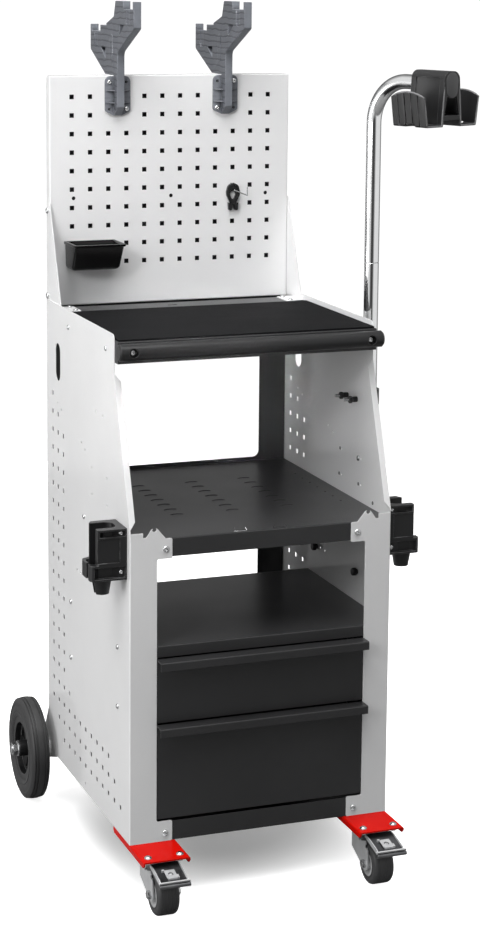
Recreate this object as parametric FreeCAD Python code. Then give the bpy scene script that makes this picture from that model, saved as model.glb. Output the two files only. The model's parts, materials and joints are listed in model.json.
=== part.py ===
import FreeCAD, Part
import math
import os

V = FreeCAD.Vector

# Driving dimensions, millimetres. X to the right, Y to the rear, Z up, floor at zero,
# front face of the backboard at Y zero.

# sheet metal in general
SHEET = 1.5
FIT = 0.3
BEND_R = 2.5
RUN_FIT = 0.05
SEAT_FIT = 0.02
OVERRUN = 1.0

# screws and bolts
SCREW_R = 2.5
SCREW_HEAD_R = 5.2
SCREW_HEAD_H = 3.2
SCREW_LEN = 9.0
BOLT_R = 3.0
BOLT_HEAD_R = 6.2
BOLT_HEAD_H = 4.0
BOLT_LEN = 10.0
HOLE_PLAY = 0.3

# side panels
WIDTH = 530.0
PANEL_BOTTOM = 115.0
PANEL_TOP = 1081.0
REAR_Y = 15.0
FRONT_Y = -554.0
KNEE_Y = -455.0
KNEE_Z = 1005.0
KNEE_R = 12.0
SLOPE_FOOT_Z = 725.0
HEM_W = 12.0
HEM_START = 4.0
HEM_TAPER = 14.0
HEM_EDGE = 2.0
LOBE_R = 25.0
LOBE_TOP_Z = 205.0
LOBE_FRONT_Y = -54.0
OVAL_Y = -67.5
OVAL_Z = 962.0
OVAL_W = 35.0
OVAL_H = 78.0

# front flange of a side panel
FLANGE_W = 53.5
FLANGE_CORNER_R = 4.0
FOOT_W = 85.0
FOOT_TOP = 155.0
FOOT_BOLT_Z = 132.0
EAR_W = 83.5
EAR_BOTTOM = 669.0
EAR_TOP = 708.0
EAR_CORNER_R = 3.0
EAR_STEP = 13.0
EAR_BOLT_IN = 13.0
EAR_BOLT_Z = 688.0
PEAK_W = 48.0
PEAK_Z = 735.0
PEAK_R = 9.0
PEAK_HOLE_R = 4.0
NOTCH_W = 26.0
NOTCH_GAP = 6.0
NOTCH_Z = 712.0

# perforation
SQUARE = 9.5
PITCH_ACROSS = 39.0
PITCH_UP = 38.0
BOARD_COLS = 12
BOARD_ROWS = 10
TOP_ROW_DROP = 43.0
SIDE_COL_Y = -27.3
SIDE_ROW_Z = 891.1
STRIP_ROWS = 18
STRIP_COLS = 3
FOOT_COLS = 11

# free holes of the side panels
SMALL_HOLE_R = 2.6
FRAME_HOLE_Y = -309.0
FRAME_HOLE_DY = 98.5
FRAME_HOLE_Z = 741.5
FRAME_HOLE_DZ = 53.5
PAIR_SPACING = 25.0
PAIR_DROP = 9.5
HIGH_PAIR_Y = -67.0
HIGH_PAIR_Z = 877.0
MIDDLE_PAIR_Y = -236.5
MIDDLE_PAIR_Z = 830.0
LOW_PAIR_Y = -203.5
LOW_PAIR_Z = 561.5
FOOT_HOLE_Y = -259.0

# backboard and gussets
BOARD_BOTTOM = 1067.0
BOARD_TOP = 1540.0
BOARD_DEPTH = 25.0
BOARD_HOLE_SPACING = 211.0
BOARD_HOLE_Z = 1289.0
BOARD_HOLE_R = 4.0
GUSSET_TIP_Z = 1280.0
GUSSET_TIP_Y = -4.0
GUSSET_TIP_R = 6.0
GUSSET_FOOT_Y = -84.0
GUSSET_FOOT_R = 4.0
GUSSET_REAR = 19.0
GUSSET_TAB_W = 40.0
GUSSET_TAB_FRONT = -104.0
GUSSET_TAB_REAR = -38.0
GUSSET_TAB_TAPER = 14.0
TAB_SCREW_IN = 11.0
TAB_SCREW_Y = -48.0
TAB_SCREW_SPACING = 45.0
GUSSET_BOLT_Y = 11.0
GUSSET_BOLT_Z = 1088.0
GUSSET_BOLT_SPACING = 176.0

# top shelf, mat and handle
TOP_SHELF_Z = 1069.5
TOP_SHELF_REAR = -38.0
TOP_SHELF_SKIRT = 42.0
SHELF_SCREW_Z = 1046.5
SHELF_SCREW_REAR = -148.0
SHELF_SCREW_SPACING = 256.0
HANG_SLOT_X = -20.0
HANG_SLOT_Y = -71.0
HANG_SLOT_W = 20.0
HANG_SLOT_T = 7.0
MAT_T = 3.5
MAT_REAR = -118.0
MAT_INSET = 3.0
MAT_CORNER_R = 2.0
BAR_R = 16.0
BAR_CHAMFER = 3.0
BAR_OVERHANG = 3.0
BAR_Y = -490.0
BAR_Z = 1052.0
BAR_SCREW_IN = 27.0
BAR_SCREW_HEAD_R = 6.5
BAR_CBORE_R = 9.0
BAR_CBORE_DEPTH = 12.0

# middle shelf
MID_Z = 708.0
MID_SKIRT = 36.0
APRON_LAP = 23.5
SKIRT_BACK = 20.0
SLOT_COLS = 3
SLOT_PITCH = 115.0
SLOT_SHIFT = -1.7
SLOT_ROWS = 7
SLOT_FIRST_Y = -140.5
SLOT_STEP = 41.0
SLOT_W = 26.0
SLOT_T = 3.0
SLOT_SAG = 5.0
SHELF_HOLE_IN = 33.0
CLIP_CUT_SPACING = 78.0
CLIP_CUT_W = 18.0
CLIP_CUT_T = 6.0
CLIP_CUT_BACK = 6.0
MID_SCREW_Y = -255.0
MID_SCREW_Z = 683.5

# rear panel
REAR_PANEL_Y = 7.0
REAR_PANEL_TOP = 1058.0
WINDOW_SIDE = 59.0
WINDOW_R = 14.0
WINDOW_UP_LOW = 716.0
WINDOW_UP_HIGH = 1022.0
WINDOW_DOWN_LOW = 190.0
WINDOW_DOWN_HIGH = 680.0

# bottom tray
TRAY_LIP = 38.0
TRAY_SKIRT = 26.0

# drawer cabinet
COVER_Z = 500.0
COVER_LIP = 22.0
COVER_LAP = 18.0
COVER_TAIL = 18.0
POST_FRONT_Y = -479.0
POST_SPACING = 319.0
POST_SCREW_Z = 365.5
POST_SCREW_SPACING = 117.5
POST_W = 40.0
POST_BOTTOM = 262.0
DRAWER_GAP = 1.5
BOX_SIDE_ROOM = 12.0
BOX_LEN = 385.0
BOX_DROP = 14.0
BOX_RISE = 8.0
UPPER_TOP = 475.0
UPPER_BOTTOM = 350.0
LOWER_TOP = 346.0
LOWER_BOTTOM = 160.0
LIP_REACH = 27.0
LIP_DROP = 16.0
LIP_OVER = 2.0
LIP_STANDOFF = 0.9
SLIDE_H = 45.0
SLIDE_T = 1.2
SLIDE_DEPTH = 13.0
SLIDE_BEND_R = 0.6
SLIDE_LEN = 378.0
SLIDE_BACK = 8.0
OUTER_LIP = 10.0
MIDDLE_LIP = 8.0
UPPER_SLIDE_Z = 420.0
LOWER_SLIDE_Z = 292.0

# hooks, heights above the board's top and reaches from its front face
HOOK_X = 117.5
HOOK_T = 16.0
HOOK_BASE_W = 54.0
HOOK_BASE_T = 5.0
HOOK_BASE_DROP = 82.0
HOOK_BASE_TOP_DROP = 1.0
HOOK_BASE_TAPER = 9.0
HOOK_BASE_LOW_R = 5.0
HOOK_BASE_TOP_R = 12.0
HOOK_SCREW_SPREAD = 36.0
HOOK_SCREW_LOW_DROP = 69.0
HOOK_SCREW_HIGH_DROP = 13.5
HOOK_RIB_T = 2.0
HOOK_RIB_DEPTH = 8.0
HOOK_RIB_DROP = 31.0
HOOK_RIB_SPACING = 25.0
HOOK_NECK = 25.0
HOOK_NECK_DROP = 65.0
HOOK_NECK_RISE = 48.0
HOOK_NECK_R = 14.0
HOOK_TIP_T = 6.0
HOOK_SEAT_W = 65.0
HOOK_FRONT = 136.0
HOOK_FRONT_LOW = 98.0
HOOK_FRONT_SEAT = 136.0
HOOK_FRONT_TOP = 152.0
HOOK_CREST_Y = -14.0
HOOK_SADDLE_Y = -2.0
HOOK_SADDLE_Z = 120.0
HOOK_STEP_Y = 49.5
HOOK_STEP_Z = 105.0
HOOK_REAR_LAND = 100.5
HOOK_REAR = 163.0
HOOK_REAR_SEAT = 87.0
HOOK_REAR_LOW = 48.0
HOOK_HEEL_Y = 58.0
HOOK_CORNER_R = 6.0
HOOK_FLUTE_Y = 11.0
HOOK_FLUTE_W = 14.0
HOOK_FLUTE_LOW = 26.0
HOOK_FLUTE_HIGH = 83.0
HOOK_FLUTE_PROUD = 1.5
HOOK_EYE_W = 35.0
HOOK_EYE_H = 24.0
HOOK_EYE_R = 2.0
HOOK_REAR_EYE_Y = 56.0
HOOK_REAR_EYE_Z = 32.0
HOOK_FRONT_EYE_Y = -39.0
HOOK_FRONT_EYE_Z = 105.0
HOOK_POCKET_W = 24.0
HOOK_POCKET_H = 28.0
HOOK_POCKET_DEPTH = 2.0

# storage bin and clip
BIN_SHIFT = -2.0
BIN_W = 104.0
BIN_ABOVE_ROW = 7.0
BIN_H = 56.0
BIN_DEPTH_TOP = 80.0
BIN_DEPTH_FOOT = 46.0
BIN_WALL = 2.0
BIN_RIM = 3.0
BIN_CORNER_R = 5.0
BIN_BACK_R = 0.5
BIN_HOLE_ROW = 8
BIN_HOLE_STEP = 2
LUG_W = 6.0
LUG_H = 7.0
CLIP_HOLE_COLUMN = 9
CLIP_HOLE_ROW = 5
CLIP_BELOW_ROW = 10.0
CLIP_DEPTH = 8.0
CLIP_HEAD_W = 30.0
CLIP_HEAD_H = 16.0
CLIP_LEG_W = 19.0
CLIP_LEG_H = 43.0
CLIP_LEG_GAP = 6.0
CLIP_LEG_TOP = 32.0
CLIP_WAIST = 25.0
CLIP_WINDOW_W = 13.0
CLIP_WINDOW_TOP = 6.0
CLIP_WINDOW_H = 17.0
WIRE_R = 1.3
WIRE_STANDOFF = 3.0
WIRE_REACH = 28.0
WIRE_SAG = 11.0
WIRE_UP = 18.0
WIRE_LEAN = 4.0

# pole, clamp and cradle head
POLE_R = 14.5
POLE_WALL = 1.5
POLE_OUT = 35.5
POLE_Y = -360.0
POLE_BELOW_CLAMP = 30.5
POLE_JOINT_Z = 1183.0
POLE_BEND_R = 86.0
ARM_Z = 1545.5
ARM_SWING = 22.0
SPIGOT_DOWN = 60.0
SPIGOT_UP = 40.0
SPIGOT_KEY = 0.5
CLAMP_H = 31.0
CLAMP_BOLT_Y = 23.0
CLAMP_BOLT_Z = 912.0
CLAMP_LUG_T = 12.0
CLAMP_LUG_EDGE = 9.0
CLAMP_WALL = 5.0
CLAMP_HOLE_PLAY = 0.1
CLAMP_NUT_W = 10.0
CLAMP_NUT_H = 5.0
HEAD_FROM = 119.0
HEAD_LEN = 86.0
HEAD_TOP = 25.0
HEAD_HALF = 20.5
HEAD_FLOOR = 80.5
HEAD_FOOT_HALF = 24.5
HEAD_WALL = 3.5
HEAD_OUT_TOP = 79.0
HEAD_OUT_LOW = 69.5
HEAD_RIM = 14.0
HEAD_RIM_SAG = 10.5
HEAD_BRIDGE_TOP = 59.0
HEAD_BRIDGE_LOW = 68.0
HEAD_MOUTH_TOP = 23.0
HEAD_END_WALL = 5.0
HEAD_NOTCH_W = 27.0
HEAD_GROOVES = 4
HEAD_GROOVE_W = 3.0
HEAD_GROOVE_DEPTH = 1.8
HEAD_COLLAR = 12.0
HEAD_RECESS = 1.5

# tool holders
HOLDER_FRONT = -538.0
HOLDER_REAR = -464.0
HOLDER_OUT = 57.0
HOLDER_TOP = 729.0
HOLDER_LOW = 631.0
HOLDER_BACK_TAPER = 7.0
HOLDER_BAND_OUT = 70.0
HOLDER_BAND_H = 30.0
HOLDER_BAND_CUT = 10.0
HOLDER_BACK_T = 14.0
HOLDER_WALL = 4.0
HOLDER_FLOOR = 8.0
HOLDER_SLOT_W = 44.0
HOLDER_SLOT_R = 16.0
HOLDER_RELIEF = 2.0
HOLDER_RELIEF_EDGE = 18.0
HOLDER_NOTCH_W = 12.0
CUP_BOTTOM = 602.0
CUP_OUT = 42.0
CUP_Y = -512.0
CUP_R_TOP = 19.0
CUP_R_LOW = 14.0
CUP_WALL = 3.0
HOLDER_SCREW_OUT = 11.0
HOLDER_SCREW_TOP = 13.0
HOLDER_SCREW_LOW = 11.0
HOLDER_SCREW_R = 4.0
HOLDER_SCREW_H = 2.6

# caster plates and casters
CPLATE_W = 92.0
CPLATE_FRONT = -642.0
CPLATE_REAR = -449.0
CPLATE_T = 3.0
CPLATE_FLANGE = 12.0
CPLATE_EDGE_R = 3.0
CPLATE_CHAMFER = 7.0
CASTER_Y = -582.0
CASTER_BOLT_X = 63.0
CASTER_BOLT_Y = 80.0
CASTER_BOLT_R = 4.0
CASTER_BOLT_HEAD_R = 7.0
CASTER_BOLT_HEAD_H = 4.0
CASTER_NUT_W = 12.0
CASTER_NUT_H = 4.0
BASE_W = 78.0
BASE_LEN = 98.0
BASE_T = 4.0
BASE_CORNER_R = 6.0
RACE_R = 24.0
RACE_TAPER = 3.0
FORK_DROP = 16.0
CROWN_T = 3.0
CROWN_FRONT = 30.0
KING_R = 6.0
KING_HEAD_R = 11.0
KING_HEAD_H = 6.0
FORK_GAP = 46.0
FORK_T = 2.5
FORK_FRONT = 48.0
FORK_FRONT_Z = 70.0
FORK_REAR = 28.0
FORK_REAR_Z = 54.0
FORK_BOSS_R = 13.0
FORK_HOLE_R = 4.0
FORK_HOLE_Y = 40.0
FORK_HOLE_Z = 77.0
CASTER_TRAIL = 36.0
CASTER_R = 41.0
CASTER_W = 42.0
CASTER_SHOULDER = 5.0
CASTER_HUB_R = 24.5
CASTER_HUB_DISH = 4.0
CASTER_BOSS_R = 11.0
CASTER_AXLE_R = 5.0
CASTER_AXLE_NUT_W = 14.0
CASTER_AXLE_NUT_H = 7.0
PEDAL_PIVOT_Y = 22.0
PEDAL_PIVOT_Z = 87.0
PEDAL_PIN_R = 2.5
PEDAL_PIN_PROUD = 4.0
PEDAL_T = 2.0
PEDAL_REAR = 39.5
PEDAL_REAR_Z = 102.0
PEDAL_FRONT = 104.0
PEDAL_FRONT_Z = 87.5
PEDAL_SIDE_H = 8.5
PEDAL_EAR_R = 6.0
PEDAL_LIP_R = 4.0
PEDAL_LIP_OVER = 2.5

# rear wheels
WHEEL_R = 107.5
WHEEL_W = 40.0
WHEEL_IN = 16.0
TYRE_WALL_IN = 3.0
TYRE_BEAD = 8.0
TYRE_SHOULDER = 5.0
TYRE_SHOULDER_DROP = 7.0
TYRE_CROWN_DROP = 1.5
TYRE_RIB = 11.0
TYRE_GROOVE = 3.5
TYRE_GROOVE_DEPTH = 2.6
AXLE_Y = 44.0
AXLE_R = 8.0
RIM_R = 68.0
RIM_LIP = 13.0
RIM_WEB_T = 8.0
HUB_R = 17.0
HUB_PROUD = 4.0
SPOKES = 6
SPOKE_HALF_ANGLE = 13.0
SPOKE_FLARE = 6.0
SPOKE_FILLET = 4.0
SPACER_R = 14.0
AXLE_WASHER_R = 16.0
AXLE_WASHER_T = 2.0
AXLE_NUT_W = 24.0
AXLE_NUT_H = 11.0
AXLE_PROUD = 2.0

# sizes that follow from the ones above
HALF = WIDTH / 2
INNER = HALF - SHEET
BETWEEN = INNER - FIT
SCREW_HOLE_R = SCREW_R + HOLE_PLAY
BOLT_HOLE_R = BOLT_R + HOLE_PLAY
CASTER_HOLE_R = CASTER_BOLT_R + HOLE_PLAY
BOARD_TOP_ROW_Z = BOARD_TOP - TOP_ROW_DROP
BOARD_HALF = BETWEEN - SHEET - FIT
EAR_BOLT_X = HALF - EAR_W + EAR_BOLT_IN
SHELF_FRONT = FRONT_Y + SHEET
SHELF_REAR = REAR_PANEL_Y - FIT
TOP_SHELF_FRONT = BAR_Y + BAR_R + FIT
APRON_HALF = HALF - EAR_W + APRON_LAP
BAR_HALF = HALF + BAR_OVERHANG
BAR_SCREW_X = BAR_HALF - BAR_SCREW_IN
TAB_SCREW_X = BETWEEN - GUSSET_TAB_W + TAB_SCREW_IN
POST_YS = (POST_FRONT_Y, POST_FRONT_Y + POST_SPACING)
POST_ZS = (POST_SCREW_Z, POST_SCREW_Z + POST_SCREW_SPACING)
COVER_REAR = POST_YS[1] + POST_W / 2 + FIT + SHEET
DRAWER_HALF = HALF - FLANGE_W - DRAWER_GAP
LIP_HALF = DRAWER_HALF + LIP_OVER
BOX_HALF = DRAWER_HALF - BOX_SIDE_ROOM
RAIL_OUT = BOX_HALF + SLIDE_DEPTH
SLIDE_Y0 = SHELF_FRONT + SLIDE_BACK
MIDDLE_H = SLIDE_H - 2 * SLIDE_T - 2 * FIT
INNER_H = MIDDLE_H - 2 * SLIDE_T - 2 * FIT
MIDDLE_X = RAIL_OUT - SLIDE_T - FIT
POLE_X = HALF + POLE_OUT
CLAMP_HOLE_R = BOLT_R + CLAMP_HOLE_PLAY
CLAMP_Z0 = CLAMP_BOLT_Z - CLAMP_H / 2
CLAMP_Z1 = CLAMP_BOLT_Z + CLAMP_H / 2
POLE_FOOT_Z = CLAMP_Z0 - POLE_BELOW_CLAMP
ARM = V(math.sin(math.radians(ARM_SWING)), -math.cos(math.radians(ARM_SWING)), 0)
SIDE = V(-ARM.y, ARM.x, 0)
HOLDER_MID = (HOLDER_FRONT + HOLDER_REAR) / 2
CPLATE_X = HALF - CPLATE_W / 2
BASE_TOP = PANEL_BOTTOM - CPLATE_T
FORK_TOP = BASE_TOP - FORK_DROP
FORK_HALF = FORK_GAP / 2 + FORK_T
CASTER_AXLE_Y = CASTER_Y - CASTER_TRAIL
CASTER_AXLE_Z = CASTER_R
PEDAL_AXIS_Y = CASTER_Y - PEDAL_PIVOT_Y
PEDAL_HALF = FORK_HALF + FIT + PEDAL_T
AXLE_Z = WHEEL_R
WHEEL_X = HALF + WHEEL_IN + WHEEL_W / 2
HUB_END = WHEEL_X + WHEEL_W / 2 + HUB_PROUD
NUT_START = HUB_END + FIT
AXLE_END = NUT_START + AXLE_WASHER_T + AXLE_NUT_H + AXLE_PROUD



def board_column_x(k):
    return (k - (BOARD_COLS - 1) / 2) * PITCH_ACROSS


def board_row_z(k):
    return BOARD_TOP_ROW_Z - k * PITCH_UP


BIN_X = (board_column_x(0) + board_column_x(BIN_HOLE_STEP)) / 2 + BIN_SHIFT
BIN_TOP = board_row_z(BIN_HOLE_ROW) + BIN_ABOVE_ROW
BIN_BOTTOM = BIN_TOP - BIN_H
CLIP_X = board_column_x(CLIP_HOLE_COLUMN)
CLIP_Z = board_row_z(CLIP_HOLE_ROW) - CLIP_BELOW_ROW

parts = {}


def scaled(v, k):
    return V(v.x * k, v.y * k, v.z * k)


def yz(x):
    return lambda a, b: V(x, a, b)


def xz(y):
    return lambda a, b: V(a, y, b)


def xy(z):
    return lambda a, b: V(a, b, z)


def outline(points, place):
    """Closed wire through (a, b, corner radius) points, laid in space by place(a, b)."""
    n = len(points)
    corners = []
    for i in range(n):
        a, b = points[i][0], points[i][1]
        r = points[i][2] if len(points[i]) > 2 else 0.0
        if r <= 0:
            corners.append((place(a, b), None, place(a, b)))
            continue
        pa, pb = points[i - 1][0], points[i - 1][1]
        na, nb = points[(i + 1) % n][0], points[(i + 1) % n][1]
        la = math.hypot(pa - a, pb - b)
        lb = math.hypot(na - a, nb - b)
        ua = ((pa - a) / la, (pb - b) / la)
        ub = ((na - a) / lb, (nb - b) / lb)
        half = math.acos(max(-1.0, min(1.0, ua[0] * ub[0] + ua[1] * ub[1]))) / 2
        t = r / math.tan(half)
        bis = (ua[0] + ub[0], ua[1] + ub[1])
        bl = math.hypot(*bis)
        reach = r / math.sin(half)
        ca, cb = a + bis[0] / bl * reach, b + bis[1] / bl * reach
        ma, mb = ca - bis[0] / bl * r, cb - bis[1] / bl * r
        start = place(a + ua[0] * t, b + ua[1] * t)
        end = place(a + ub[0] * t, b + ub[1] * t)
        corners.append((start, place(ma, mb), end))
    edges = []
    for i in range(n):
        start, mid, end = corners[i]
        if mid is not None:
            edges.append(Part.Arc(start, mid, end).toShape())
        follow = corners[(i + 1) % n][0]
        if end.distanceToPoint(follow) > 1e-6:
            edges.append(Part.makeLine(end, follow))
    return Part.Wire(edges)


def slab(points, place, push):
    return Part.Face(outline(points, place)).extrude(push)


def box(x0, x1, y0, y1, z0, z1):
    return Part.makeBox(x1 - x0, y1 - y0, z1 - z0, V(x0, y0, z0))


def rod(r, p, q):
    d = q.sub(p)
    return Part.makeCylinder(r, d.Length, p, d)


def rod_x(r, x0, x1, y, z):
    return rod(r, V(x0, y, z), V(x1, y, z))


def rod_y(r, x, y0, y1, z):
    return rod(r, V(x, y0, z), V(x, y1, z))


def rod_z(r, x, y, z0, z1):
    return rod(r, V(x, y, z0), V(x, y, z1))


def hexbar(across, p, q):
    d = q.sub(p)
    u = d.cross(V(0, 0, 1))
    if u.Length < 1e-6:
        u = V(1, 0, 0)
    u.normalize()
    w = d.cross(u)
    w.normalize()
    r = across / math.sqrt(3)
    pts = []
    for k in range(6):
        t = math.pi / 3 * k
        pts.append(p.add(scaled(u, r * math.cos(t))).add(scaled(w, r * math.sin(t))))
    pts.append(pts[0])
    return Part.Face(Part.makePolygon(pts)).extrude(d)


def turned(points, centre, axis):
    """Solid of revolution; points are (along, radius) about centre and a world axis."""
    side = V(0, 0, 1) if abs(axis.z) < 0.5 else V(1, 0, 0)
    pts = [centre.add(scaled(axis, a)).add(scaled(side, r)) for a, r in points]
    pts.append(pts[0])
    face = Part.Face(Part.makePolygon(pts))
    return face.revolve(centre, axis, 360)


def annulus(r, wall, centre, normal):
    outer = Part.Face(Part.Wire(Part.makeCircle(r, centre, normal)))
    inner = Part.Face(Part.Wire(Part.makeCircle(r - wall, centre, normal)))
    return outer.cut(inner).Faces[0]


def rounded(shape, radius, pick):
    chosen = [e for e in shape.Edges if pick(e.CenterOfMass, e)]
    return shape.makeFillet(radius, chosen)


def near(a, b):
    return abs(a - b) < 0.01


def mirrored(shape):
    return shape.mirror(V(0, 0, 0), V(1, 0, 0))


def pair(solids):
    """The same solids on both sides of the trolley, in one compound."""
    return Part.makeCompound(solids + [mirrored(s) for s in solids])


def joined(shapes):
    whole = shapes[0].fuse(shapes[1:])
    return whole.removeSplitter()


def domed(seat, out, length, head_r, head_h, shank_r):
    """Screw with a domed head: seat on the sheet, out is the way the head points."""
    head = [(0, head_r), (head_h * 0.4, head_r), (head_h, head_r * 0.55), (head_h, 0)]
    foot = [(-length, 0), (-length, shank_r), (0, shank_r)]
    return turned(foot + head, seat, out)


def small_screw(seat, out):
    return domed(seat, out, SCREW_LEN, SCREW_HEAD_R, SCREW_HEAD_H, SCREW_R)


def frame_bolt(seat, out):
    return domed(seat, out, BOLT_LEN, BOLT_HEAD_R, BOLT_HEAD_H, BOLT_R)


def tangent(px, py, cx, cy, r, sign):
    """Point on the circle whose tangent passes through (px, py)."""
    d = math.hypot(px - cx, py - cy)
    base = math.atan2(py - cy, px - cx)
    t = base + sign * math.acos(r / d)
    return cx + r * math.cos(t), cy + r * math.sin(t)


def polar(cx, cy, r, degrees):
    t = math.radians(degrees)
    return cx + r * math.cos(t), cy + r * math.sin(t)


# side panels

def strip_cells():
    """Columns and rows of the perforated strip along the rear edge and the foot."""
    cells = set()
    for c in range(STRIP_COLS):
        for r in range(STRIP_ROWS):
            cells.add((c, r + c))
        for k in range(FOOT_COLS):
            cells.add((k + c, STRIP_ROWS - 1 + c))
    cells.add((STRIP_COLS, STRIP_ROWS - 2))
    return sorted(cells)


def shelf_screw_spots():
    return [(SHELF_SCREW_REAR - k * SHELF_SCREW_SPACING, SHELF_SCREW_Z) for k in (0, 1)]


def side_screw_spots():
    posts = [(y, z) for y in POST_YS for z in POST_ZS]
    return shelf_screw_spots() + [(MID_SCREW_Y, MID_SCREW_Z)] + posts


def free_hole_spots():
    spots = [(FOOT_HOLE_Y, FOOT_BOLT_Z)]
    high = (HIGH_PAIR_Y, HIGH_PAIR_Z, PAIR_DROP)
    middle = (MIDDLE_PAIR_Y, MIDDLE_PAIR_Z, PAIR_DROP)
    low = (LOW_PAIR_Y, LOW_PAIR_Z, 0)
    for y, z, drop in (high, middle, low):
        spots += [(y, z), (y - PAIR_SPACING, z - drop)]
    for i in (0, 1):
        for k in (0, 1):
            spots.append((FRAME_HOLE_Y - i * FRAME_HOLE_DY, FRAME_HOLE_Z + k * FRAME_HOLE_DZ))
    return spots


def panel_plate(x):
    """Flat sheet of a side panel, with the lobe that carries the rear axle."""
    up = tangent(REAR_Y, LOBE_TOP_Z, AXLE_Y, AXLE_Z, LOBE_R, -1)
    low = tangent(LOBE_FRONT_Y, PANEL_BOTTOM, AXLE_Y, AXLE_Z, LOBE_R, 1)
    far = polar(AXLE_Y, AXLE_Z, LOBE_R, -40)
    run = [low, (LOBE_FRONT_Y, PANEL_BOTTOM), (FRONT_Y, PANEL_BOTTOM), (FRONT_Y, SLOPE_FOOT_Z),
           (KNEE_Y, KNEE_Z), (KNEE_Y, PANEL_TOP), (REAR_Y, PANEL_TOP), (REAR_Y, LOBE_TOP_Z), up]
    at = yz(x)
    edges = [Part.makeLine(at(*run[i]), at(*run[i + 1])) for i in range(len(run) - 1)]
    edges.append(Part.Arc(at(*up), at(*far), at(*low)).toShape())
    plate = Part.Face(Part.Wire(edges)).extrude(V(SHEET, 0, 0))
    return rounded(plate, KNEE_R, lambda c, e: near(c.y, KNEE_Y) and near(c.z, PANEL_TOP))


def panel_flange(x):
    """Front flange with the foot below and the ear at the middle shelf."""
    return slab([
        (x, PANEL_BOTTOM), (x + FOOT_W, PANEL_BOTTOM, EAR_CORNER_R),
        (x + FOOT_W, FOOT_TOP, EAR_CORNER_R), (x + FLANGE_W, FOOT_TOP, FLANGE_CORNER_R),
        (x + FLANGE_W, EAR_BOTTOM, FLANGE_CORNER_R), (x + EAR_W, EAR_BOTTOM, EAR_CORNER_R),
        (x + EAR_W, EAR_TOP, EAR_CORNER_R), (x + EAR_W - EAR_STEP, EAR_TOP),
        (x + PEAK_W, PEAK_Z, PEAK_R), (x + NOTCH_W + NOTCH_GAP, NOTCH_Z),
        (x + NOTCH_W, NOTCH_Z), (x + NOTCH_W, SLOPE_FOOT_Z - HEM_START),
        (x, SLOPE_FOOT_Z - HEM_START)], xz(FRONT_Y), V(0, SHEET, 0))


def panel_hem(x):
    """Folded edge along the slope above the middle shelf."""
    along = V(0, KNEE_Y - FRONT_Y, KNEE_Z - SLOPE_FOOT_Z)
    run = along.Length
    along.normalize()
    inward = V(0, along.z, -along.y)
    foot = V(x, FRONT_Y, SLOPE_FOOT_Z)
    return slab([(0, HEM_START), (0, run), (HEM_EDGE, run), (HEM_W, run - HEM_TAPER),
                 (HEM_W, HEM_START + HEM_TAPER), (HEM_EDGE, HEM_START)],
                lambda a, b: foot.add(V(a, 0, 0)).add(scaled(along, b)), scaled(inward, SHEET))


def side_panel():
    """Left panel; outer face at -HALF."""
    x = -HALF
    body = joined([panel_plate(x), panel_flange(x), panel_hem(x)])
    body = rounded(body, BEND_R, lambda c, e: near(c.x, x) and near(c.y, FRONT_Y)
                   and e.Length > SLOPE_FOOT_Z / 2)
    x0 = x - OVERRUN
    x1 = x + SHEET + OVERRUN
    h = SQUARE / 2
    cut = []
    for c, r in strip_cells():
        y = SIDE_COL_Y - PITCH_ACROSS * c
        z = SIDE_ROW_Z - PITCH_UP * r
        cut.append(box(x0, x1, y - h, y + h, z - h, z + h))
    for y, z in side_screw_spots():
        cut.append(rod_x(SCREW_HOLE_R, x0, x1, y, z))
    for y, z in free_hole_spots():
        cut.append(rod_x(SMALL_HOLE_R, x0, x1, y, z))
    for s in (-1, 1):
        cut.append(rod_x(BOLT_HOLE_R, x0, x1, POLE_Y + s * CLAMP_BOLT_Y, CLAMP_BOLT_Z))
    cut.append(rod_x(AXLE_R + HOLE_PLAY, x0, x1, AXLE_Y, AXLE_Z))
    w = OVAL_W / 2
    straight = OVAL_H / 2 - w
    cut.append(box(x0, x1, OVAL_Y - w, OVAL_Y + w, OVAL_Z - straight, OVAL_Z + straight))
    for s in (-1, 1):
        cut.append(rod_x(w, x0, x1, OVAL_Y, OVAL_Z + s * straight))
    y0 = FRONT_Y - OVERRUN
    y1 = FRONT_Y + SHEET + OVERRUN
    for z in (EAR_BOLT_Z, FOOT_BOLT_Z):
        cut.append(rod_y(BOLT_HOLE_R, -EAR_BOLT_X, y0, y1, z))
    cut.append(rod_y(PEAK_HOLE_R, x + PEAK_W, y0, y1, PEAK_Z - PEAK_R))
    return body.cut(cut)


parts["side_panel_left"] = side_panel()
parts["side_panel_right"] = mirrored(side_panel())


# backboard with folded edges, gussets and rear panel

def gusset_bolt_heights():
    return [GUSSET_BOLT_Z + k * GUSSET_BOLT_SPACING for k in (0, 1)]


def tab_screw_ys():
    return [TAB_SCREW_Y - k * TAB_SCREW_SPACING for k in (0, 1)]


def hook_screw_spots(x):
    """Four screw places of the hook at x."""
    s = HOOK_SCREW_SPREAD / 2
    heights = (BOARD_TOP - HOOK_SCREW_LOW_DROP, BOARD_TOP - HOOK_SCREW_HIGH_DROP)
    return [(x + k * s, z) for z in heights for k in (-1, 1)]


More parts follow.
